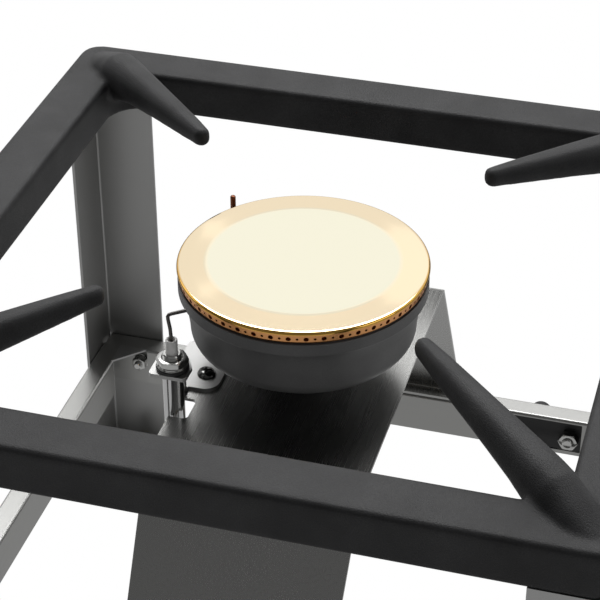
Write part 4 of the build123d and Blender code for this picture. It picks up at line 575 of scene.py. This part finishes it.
def hex_nut(flats, height, bore, lip=0.4):
    """Hexagon nut: a turned blank drawn in to six flats, its chamfer left on the corners."""
    corner = flats / 2 / cos(radians(HEX_SIDE / 2))
    face = flats / 2 * NUT_FACE
    slope = tan(radians(NUT_BEVEL))
    drop = (corner - face) * slope
    profile = [(bore, lip), (bore + lip, 0), (face, 0), (corner, drop), (corner, height - drop),
               (face, height), (bore + lip, height), (bore, height - lip)]
    own = turned(profile, steps=NUT_STEPS, closed=True)
    for vertex in own.verts:
        radius = vertex.co.xy.length / MM
        if radius > corner - 0.01:
            angle = vertex.co.xy.angle_signed(Vector((1.0, 0.0))) * 180.0 / pi
            side = hexagon_radius(flats, angle)
            depth = (side - face) * slope * MM
            upper = vertex.co.z > height * MM / 2
            vertex.co.xy *= side / radius
            vertex.co.z = height * MM - depth if upper else depth
    return own


def washer(outer, bore, thickness):
    """Flat washer with its outer edges broken."""
    edge = min(0.35, thickness * 0.3)
    profile = [(bore, 0), (outer - edge, 0), (outer, edge), (outer, thickness - edge),
               (outer - edge, thickness), (bore, thickness)]
    return turned(profile, closed=True)


def threads(radius, start, end, pitch, bore=0.0, lead_in=0.8):
    """Threaded length: one ridge for each turn of the thread, and a chamfer where it ends."""
    depth = THREAD_DEPTH * pitch
    root = radius - depth
    outline = [(bore, start), (root, start)]
    level = start + pitch * 0.25
    while level < end - lead_in - pitch * 0.5:
        outline += [(root, level), (radius, level + pitch * 0.38),
                    (radius, level + pitch * 0.62), (root, level + pitch)]
        level += pitch
    outline += [(root, level), (radius - depth * 0.3, end - lead_in),
                (radius - lead_in, end), (bore, end)]
    return turned(outline, closed=bore > 0)


# ---------------------------------------------------------------- leads

IGNITION_LEAD = dict(
    node="ignition_lead",
    route=[(45, -178, 74), (45, -148, 74), (32, -112, 104), (0, -92, 146), (-38, -74, 176),
           (-62.7, -60.3, 214), (-62.7, -60.3, 256.5)],
    length=272.5, diameter=4.8, stiffness="medium", lay="hanging")
THERMOCOUPLE_LEAD = dict(
    node="thermocouple_lead",
    route=[(-61.4, 56.3, 318), (-61.4, 56.3, 282), (-72, 28, 252), (-78, -14, 214), (-74, -66, 172),
           (-62, -104, 126), (-40, -124, 74), (-40, -158, 74)],
    length=350.5, diameter=2.6, stiffness="stiff", lay="loose")


def run_lead(node, route, length, diameter, stiffness, lay, finish, slot):
    """One smooth spline through a lead's route, from one fitting to the other."""
    curve = bpy.data.curves.new(node, "CURVE")
    curve.dimensions = "3D"
    curve.bevel_depth = diameter / 2 * MM
    curve.bevel_resolution = 4
    curve.use_fill_caps = True
    curve.resolution_u = 16
    spline = curve.splines.new("NURBS")
    spline.points.add(len(route) - 1)
    for point, place in zip(spline.points, route):
        point.co = (*[c * MM for c in place], 1.0)
    spline.order_u = 3
    spline.use_endpoint_u = True
    curve.materials.append(finish)
    lead = bpy.data.objects.new(f"{node}_run", curve)
    bpy.context.scene.collection.objects.link(lead)
    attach(lead, "stand")
    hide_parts(node)


# ---------------------------------------------------------------- burner

RING_TOP = 373.3
RIM = 366.7
PORT_COUNT = 46
PORT_Z = 370.3
FIRST_PORT = 287.0
MAIN_PORT, PILOT_PORT = 1.5, 0.8        # radii
DRILL_LENGTH = 14.0
WALL_MIDDLE = 69.0
THREAD_TOP, THREAD_END, THREAD_PITCH = 296.5, 264.0, 2.0


def make_cap():
    """Lift-off cap: a flat middle, a ring that falls away slightly and a full rounded rim."""
    profile = [(0, 376.1), (20, 376.08), (40, 376.05), (56.6, 376.0), (57.8, 375.97),
               (59.2, 375.88), (66, 375.58), (72.6, 375.26)]
    profile += arc((73.3, 373.55), 1.7, 76, -8, 7)
    profile += [(74.8, RING_TOP), (63.0, RING_TOP), (63.0, 369.3), (60.0, 369.3), (60.0, 372.3),
                (0, 372.3)]
    add_piece("burner_cap_polished", turned(profile, steps=FINE_STEPS), cap_brass,
              "burner_top", ["burner_cap"], crease=40)


def make_bowl():
    """Cast bowl: a collar with a seat and a groove, a drafted wall and a threaded neck."""
    profile = [(69.0, RIM), (72.6, RIM), (72.8, 365.2), (73.8, 365.2), (74.0, RIM), (74.3, RIM),
               (74.6, RIM - 0.3)]
    profile += [(74.6, 359.2), (74.2, 358.5), (71.6, 358.0), (70.7, 356.6), (69.6, 348.0),
                (68.2, 337.0)]
    profile += arc((57.8, 333.4), 10.2, 0, -90, 12)
    profile += [(31.5, 323.2), (30.0, 322.0), (27.0, 297.0), (21.0, 297.0)]
    level = THREAD_TOP
    while level > THREAD_END:
        profile += [(21.0, level - 0.4), (20.2, level - 1.0), (20.2, level - 1.2),
                    (21.0, level - 1.8)]
        level -= THREAD_PITCH
    profile += [(20.4, 262.0), (17.0, 262.0), (15.0, 267.0), (15.0, 343.2), (20.0, 343.2),
                (22.0, 328.2), (54.0, 328.2)]
    profile += arc((54.0, 338.2), 10.0, -90, 0, 8)
    profile += [(65.6, 352.0), (66.0, 361.0), (69.0, 362.4)]
    add_piece("burner_bowl_cast", turned(profile, steps=FINE_STEPS, closed=True), bowl_iron,
              "stand", ["burner_bowl"], crease=28)


def make_port_ring():
    """Drilled ring: main and pilot ports in turn, undercut so that it seats inside the lip."""
    profile = [(74.35, RING_TOP), (74.35, 372.6), (73.75, 368.3), (73.4, 368.0), (72.5, 367.8),
               (72.4, RIM), (68.7, RIM), (68.7, 363.0), (66.2, 363.0), (66.2, 365.5),
               (63.1, 367.0), (63.1, RING_TOP)]
    drills = bmesh.new()
    for n in range(2 * PORT_COUNT):
        angle = FIRST_PORT + 180.0 / PORT_COUNT * n
        out = Vector((cos(radians(angle)), sin(radians(angle)), 0.0))
        bore = PILOT_PORT if n % 2 else MAIN_PORT
        drill = bmesh.new()
        bmesh.ops.create_cone(drill, segments=20, radius1=bore * MM, radius2=bore * MM,
                              depth=DRILL_LENGTH * MM, cap_ends=True)
        join(drills, drill, standing(out * WALL_MIDDLE + Vector((0, 0, PORT_Z)), out))
    shape = carve(turned(profile, steps=4 * PORT_COUNT, closed=True), drills)
    add_piece("port_ring_drilled", shape, port_brass, "burner_top", ["port_ring"],
              crease=30)


# ---------------------------------------------------------------- grate

LEG_AXIS = 197.0        # the grate's pegs and the feet stand on the legs' axes
GRATE_SIDE, GRATE_BAR = 440.0, 34.0
GRATE_FOOT, GRATE_TOP = 354.0, 382.0
HOLLOW_LENGTH, HOLLOW_WIDTH, HOLLOW_DEPTH = 316.0, 20.0, 21.0
OVERCUT = 5.0
MELT_SIZE = 1.8
FINGER_STEPS = 24
FULLNESS = 0.74         # under 1 a section is fuller than an ellipse
FINGER = [  # distance along the diagonal, width of the crest, width below, underside, top
    (127.8, 4.5, 4.5, 391.0, 397.4), (128.8, 8.0, 8.0, 389.0, 399.2),
    (131.0, 10.2, 10.4, 388.0, 399.9), (137.0, 11.2, 11.6, 387.4, 399.95),
    (150.0, 13.2, 13.8, 385.4, 399.9), (190.0, 17.2, 18.2, 379.2, 399.3),
    (228.0, 21.6, 22.6, 372.4, 398.5), (246.0, 24.2, 25.4, 367.4, 398.0),
    (258.0, 26.0, 28.6, 361.0, 396.6), (266.0, 25.0, 31.0, 358.0, 393.6),
    (274.0, 26.0, 33.0, 358.0, 390.4), (284.0, 24.0, 31.0, 358.0, 386.0),
    (293.0, 18.0, 25.0, 358.0, 382.2), (298.0, 12.0, 18.0, 360.0, 379.0)]


def four_turns(first):
    """The turns that carry one corner or side to all four."""
    return [Matrix.Rotation(radians(first + turn), 4, "Z") for turn in (0, 90, 180, 270)]


def at_legs(z):
    """A point at each of the four legs' axes."""
    return [(sx * LEG_AXIS, sy * LEG_AXIS, z) for sx in (-1, 1) for sy in (-1, 1)]


def rounded_slab(side_x, side_y, low, high, corner, at=(0, 0)):
    """Slab with its upright edges rounded."""
    own = block((side_x, side_y, high - low), (at[0], at[1], (high + low) / 2))
    upright = [e for e in own.edges if abs(e.verts[0].co.z - e.verts[1].co.z) > MM]
    return rounded(own, upright, corner, 8)


def fuller(share):
    """Draws a sine or cosine out, so that a circle's section becomes fuller."""
    return abs(share) ** FULLNESS * (1 if share > 0 else -1)


def finger():
    """One raised finger along local X, from its nose to where it runs out over the corner."""
    own = bmesh.new()
    rims = []
    for reach, crest, foot, low, high in FINGER:
        points, edges = section(own, FINGER_STEPS)
        for point in points:
            across, level = fuller(point.co.x), fuller(point.co.y)
            width = foot + (crest - foot) * (level + 1) / 2
            height = (low + high) / 2 + level * (high - low) / 2
            point.co = Vector((reach, across * width / 2, height)) * MM
        rims.append(edges)
    return bridged(own, rims)


def make_grate():
    """Cast grate: a square of bars hollowed from below, melted into one with four fingers."""
    inner = GRATE_SIDE - 2 * GRATE_BAR
    ring = carve(rounded_slab(GRATE_SIDE, GRATE_SIDE, GRATE_FOOT, GRATE_TOP, 14.0),
                 rounded_slab(inner, inner, GRATE_FOOT - OVERCUT, GRATE_TOP + OVERCUT, 22.0))
    rims = [e for e in ring.edges if min(v.co.z for v in e.verts) > (GRATE_TOP - 0.1) * MM
            and len(e.link_faces) == 2 and e.calc_face_angle() > radians(60)]
    rounded(ring, rims, 3.6, 4)
    hollows = bmesh.new()
    for place in four_turns(0):
        hollow = rounded_slab(HOLLOW_LENGTH, HOLLOW_WIDTH, GRATE_FOOT - OVERCUT,
                              GRATE_FOOT + HOLLOW_DEPTH, 3.0, (0, (GRATE_SIDE - GRATE_BAR) / 2))
        join(hollows, hollow, place)
    shape = carve(ring, hollows)
    for place in four_turns(45):
        join(shape, finger(), place)
    peg = [(0, 346.0), (3.4, 346.0), (4.0, 346.6), (4.0, 360.0), (0, 360.0)]
    for spot in at_legs(0):
        join(shape, turned(peg, steps=32), standing(spot))
    blank = shape_object(shape)
    melt = blank.modifiers.new("melt", "REMESH")
    melt.mode = "VOXEL"
    melt.voxel_size = MELT_SIZE * MM
    ease = blank.modifiers.new("ease", "SMOOTH")
    ease.factor = 0.5
    ease.iterations = 2
    add_piece("grate_cast", settled(blank), grate_iron, "grate", ["grate"],
              crease=80)


# ---------------------------------------------------------------- electrode

ELECTRODE = (-62.7, -60.3)
TAB_TOP = 327.0
THIN_WASHER_Z, WASHER_Z, NUT_Z = TAB_TOP + 2.6, TAB_TOP + 3.0, TAB_TOP + 4.2
COLLAR_RADIUS, COLLAR_BORE = 5.75, 3.8
WIRE_RADIUS = 1.1
WIRE_PATH = [(0, 0, 339.5), (0, 0, 347.5), (-0.3, -0.3, 355.0), (-1.1, -0.8, 361.6),
             (-1.2, -0.8, 363.6), (-0.6, -0.3, 364.7), (1.0, 0.8, 365.0), (8.2, 4.6, 366.0)]
BRACKET_SCREW_AT = (-54.0, -25.6, TAB_TOP - 27.5)


def cross_recess(shape, size, width, bottom, depth, turn):
    """Cuts a cross recess into the top of a screw, one slot after the other."""
    for angle in (turn, turn + 90.0):
        shape = carve(shape, block((size, width, depth), (0, 0, bottom + depth / 2), angle))
    return shape


def pan_head(radius, height, recess, recess_width, turn, shank, shank_length):
    """Pan-head screw with a domed top and a cross recess."""
    profile = [(0, height), (radius * 0.35, height * 0.985), (radius * 0.6, height * 0.92),
               (radius * 0.8, height * 0.76), (radius * 0.93, height * 0.5),
               (radius, height * 0.2), (radius, 0), (shank, 0), (shank, -shank_length),
               (0, -shank_length)]
    solid = turned(profile, steps=HEAD_STEPS)
    return cross_recess(solid, recess, recess_width, height * 0.4, height, turn)


def make_electrode():
    """The electrode's stack on its bracket, from the ceramic to the screw."""
    x, y = ELECTRODE
    axis = standing((x, y, 0))

    glaze = [(1.3, 339.0), (2.1, 346.6), (2.5, 347.3), (3.0, 347.5), (3.45, 347.2), (3.6, 346.7),
             (3.6, 256.8), (3.3, 256.5), (1.3, 256.5)]
    shape = bmesh.new()
    join(shape, turned(glaze, closed=True), axis)
    add_piece("electrode_insulator_glazed", shape, white_glaze, "stand",
              ["electrode_insulator"])

    shape = bmesh.new()
    join(shape, threads(COLLAR_RADIUS, 308.5, 338.0, 1.0, bore=COLLAR_BORE), axis)
    add_piece("electrode_collar_threaded", shape, bright_plate, "stand",
              ["electrode_collar"])

    shape = bmesh.new()
    join(shape, hex_nut(17.0, 4.0, 5.7, lip=0.8), standing((x, y, NUT_Z), turn=10.0))
    join(shape, washer(9.0, COLLAR_RADIUS, 1.1), standing((x, y, WASHER_Z)))
    join(shape, washer(9.35, COLLAR_RADIUS, 0.5), standing((x, y, THIN_WASHER_Z)))
    add_piece("electrode_nut_and_washer", shape, bright_plate, "stand",
              ["electrode_nut"])

    shape = tube_along([(x + px, y + py, pz) for px, py, pz in WIRE_PATH], WIRE_RADIUS)
    add_piece("electrode_wire_bent", shape, dark_wire, "stand", ["electrode_wire"])

    shape = bmesh.new()
    join(shape, washer(9.8, COLLAR_RADIUS, 2.5), standing((x, y, TAB_TOP)))
    add_piece("electrode_fibre_washer", shape, black_phenolic, "stand",
              ["fibre_washer"])

    tube = [(5.85, 324.5), (6.35, 324.5), (6.35, 261.4)]
    tube += arc((6.1, 261.0), 0.25, 0, -180, 4) + [(5.85, 261.4)]
    shape = bmesh.new()
    join(shape, turned(tube, steps=96, closed=True), axis)
    add_piece("electrode_tube_chromed", shape, chrome, "stand", ["electrode_tube"])

    shape = bmesh.new()
    join(shape, pan_head(5.7, 3.4, 6.4, 1.25, 20.0, 3.0, 10.5), standing(BRACKET_SCREW_AT))
    add_piece("bracket_screw_pan_head", shape, screw_steel, "stand", ["bracket_screw"])


# ---------------------------------------------------------------- fasteners

LEG_IN = 218.0
SHEET = 1.5
BOLT_AT, BOLT_Z = 193.0, 114.0
CORNER_WASHER = 1.2
BOLT_HEAD = [(0, -2.0), (3.0, -2.0), (3.0, -3.5), (4.9, -3.5), (5.0, -3.8), (4.75, -5.4),
             (4.1, -6.5), (2.8, -7.2), (0, -7.5)]
SOCKET_RADIUS, SOCKET_START, SOCKET_LENGTH = 2.3, -9.5, 4.0
FOOT_NUT_Z = 18.0
BRIDGE_SCREW_X, BRIDGE_SCREW_Y = 48.0, 207.6
BRIDGE_SCREW = [(0, 137.1), (3.4, 137.1), (3.6, 136.9), (2.0, 135.2), (2.0, 127.5), (1.6, 127.0),
                (0, 127.0)]
BUTTON_X, BUTTON_Z = 119.0, 126.0
BUTTON = [(0, -5.5), (3.0, -5.5), (3.0, 0), (8.0, 0), (7.9, 3.2), (7.0, 5.2), (5.2, 6.4),
          (0, 6.8)]
STOP_BOLT_X, STOP_BOLT_Z, STOP_NUT_IN = 142.0, 111.0, 11.0
STOP_BOLT = [(0, -13.0), (3.2, -13.0), (4.0, -12.2), (4.0, 0), (7.0, 0), (6.8, 2.0), (5.2, 3.9),
             (0, 5.0)]


def corner_spots():
    """Face of the rail's web and inward direction at each of the eight corner bolts."""
    for turn in (0, 90, 180, 270):
        around = Matrix.Rotation(radians(turn), 3, "Z")
        for x in (-BOLT_AT, BOLT_AT):
            yield around @ Vector((x, LEG_IN - SHEET, BOLT_Z)), around @ Vector((0, -1, 0))


def hex_socket():
    """Six-sided bar that cuts the key's socket into a bolt's head."""
    socket = bmesh.new()
    bmesh.ops.create_circle(socket, cap_ends=True, segments=6, radius=SOCKET_RADIUS * MM)
    rim = bmesh.ops.extrude_face_region(socket, geom=socket.faces[:])
    raised = [v for v in rim["geom"] if isinstance(v, bmesh.types.BMVert)]
    bmesh.ops.translate(socket, vec=(0, 0, SOCKET_LENGTH * MM), verts=raised)
    bmesh.ops.translate(socket, vec=(0, 0, SOCKET_START * MM), verts=socket.verts)
    return socket


def make_corner_bolts():
    """Button-head bolts through the legs and rails, with washers and nuts inside."""
    nuts, bolts = bmesh.new(), bmesh.new()
    for face, inward in corner_spots():
        spot = standing(face, inward, (0, 0, 1))
        join(nuts, washer(6.5, 3.05, CORNER_WASHER), spot)
        join(nuts, hex_nut(10.0, 5.0, 2.9), spot @ Matrix.Translation((0, 0, CORNER_WASHER * MM)))
        join(bolts, threads(3.0, -2.0, 9.2, 1.0, lead_in=0.7), spot)
        join(bolts, carve(turned(BOLT_HEAD, steps=HEAD_STEPS), hex_socket()), spot)
    add_piece("corner_nuts_chamfered", nuts, bright_plate, "stand", ["frame_nuts"])
    add_piece("corner_bolts_button_head", bolts, bright_plate, "stand", ["frame_bolts"])


def make_foot_nuts():
    """Lock nuts of the adjustable feet."""
    shape = bmesh.new()
    for spot in at_legs(FOOT_NUT_Z):
        join(shape, hex_nut(17.0, 6.0, 5.06), standing(spot))
    add_piece("foot_nuts_chamfered", shape, bright_plate, "stand", ["foot_lock_nuts"])


def make_bridge_screws():
    """Countersunk screws, flush with the feet of the bridge."""
    shape = bmesh.new()
    for x in (-BRIDGE_SCREW_X, BRIDGE_SCREW_X):
        for y in (-BRIDGE_SCREW_Y, BRIDGE_SCREW_Y):
            screw = cross_recess(turned(BRIDGE_SCREW, steps=32), 3.2, 0.7, 136.2, 3.0, 20.0)
            join(shape, screw, standing((x, y, 0)))
    add_piece("bridge_screws_flush", shape, bright_plate, "stand", ["bridge_screws"])


def make_wall_stops():
    """Rubber buttons that keep the frame off the wall, and the bolts and nuts beside them."""
    shape, nuts, bolts = bmesh.new(), bmesh.new(), bmesh.new()
    back = (0, 1, 0)
    for side in (-1, 1):
        join(shape, turned(BUTTON, steps=HEAD_STEPS),
             standing((side * BUTTON_X, LEG_IN, BUTTON_Z), back))
        join(bolts, turned(STOP_BOLT, steps=HEAD_STEPS),
             standing((side * STOP_BOLT_X, LEG_IN, STOP_BOLT_Z), back))
        join(nuts, hex_nut(13.0, 6.5, 4.0),
             standing((side * STOP_BOLT_X, LEG_IN - STOP_NUT_IN, STOP_BOLT_Z), back))
    add_piece("wall_stop_buttons", shape, black_rubber, "stand", ["wall_stops"])
    add_piece("stop_bolts_domed", bolts, bright_plate, "stand", ["stop_bolts"])
    add_piece("stop_nuts_chamfered", nuts, bright_plate, "stand", ["stop_nuts"])


place_camera()
run_lead(**IGNITION_LEAD, finish=black_lead, slot="lead_black")
run_lead(**THERMOCOUPLE_LEAD, finish=copper_tip, slot="sensor_copper")
finish_cad_nodes()
make_cap()
make_bowl()
make_port_ring()
make_grate()
make_electrode()
make_corner_bolts()
make_foot_nuts()
make_bridge_screws()
make_wall_stops()
light_studio()
bpy.context.scene.view_settings.view_transform = "Standard"
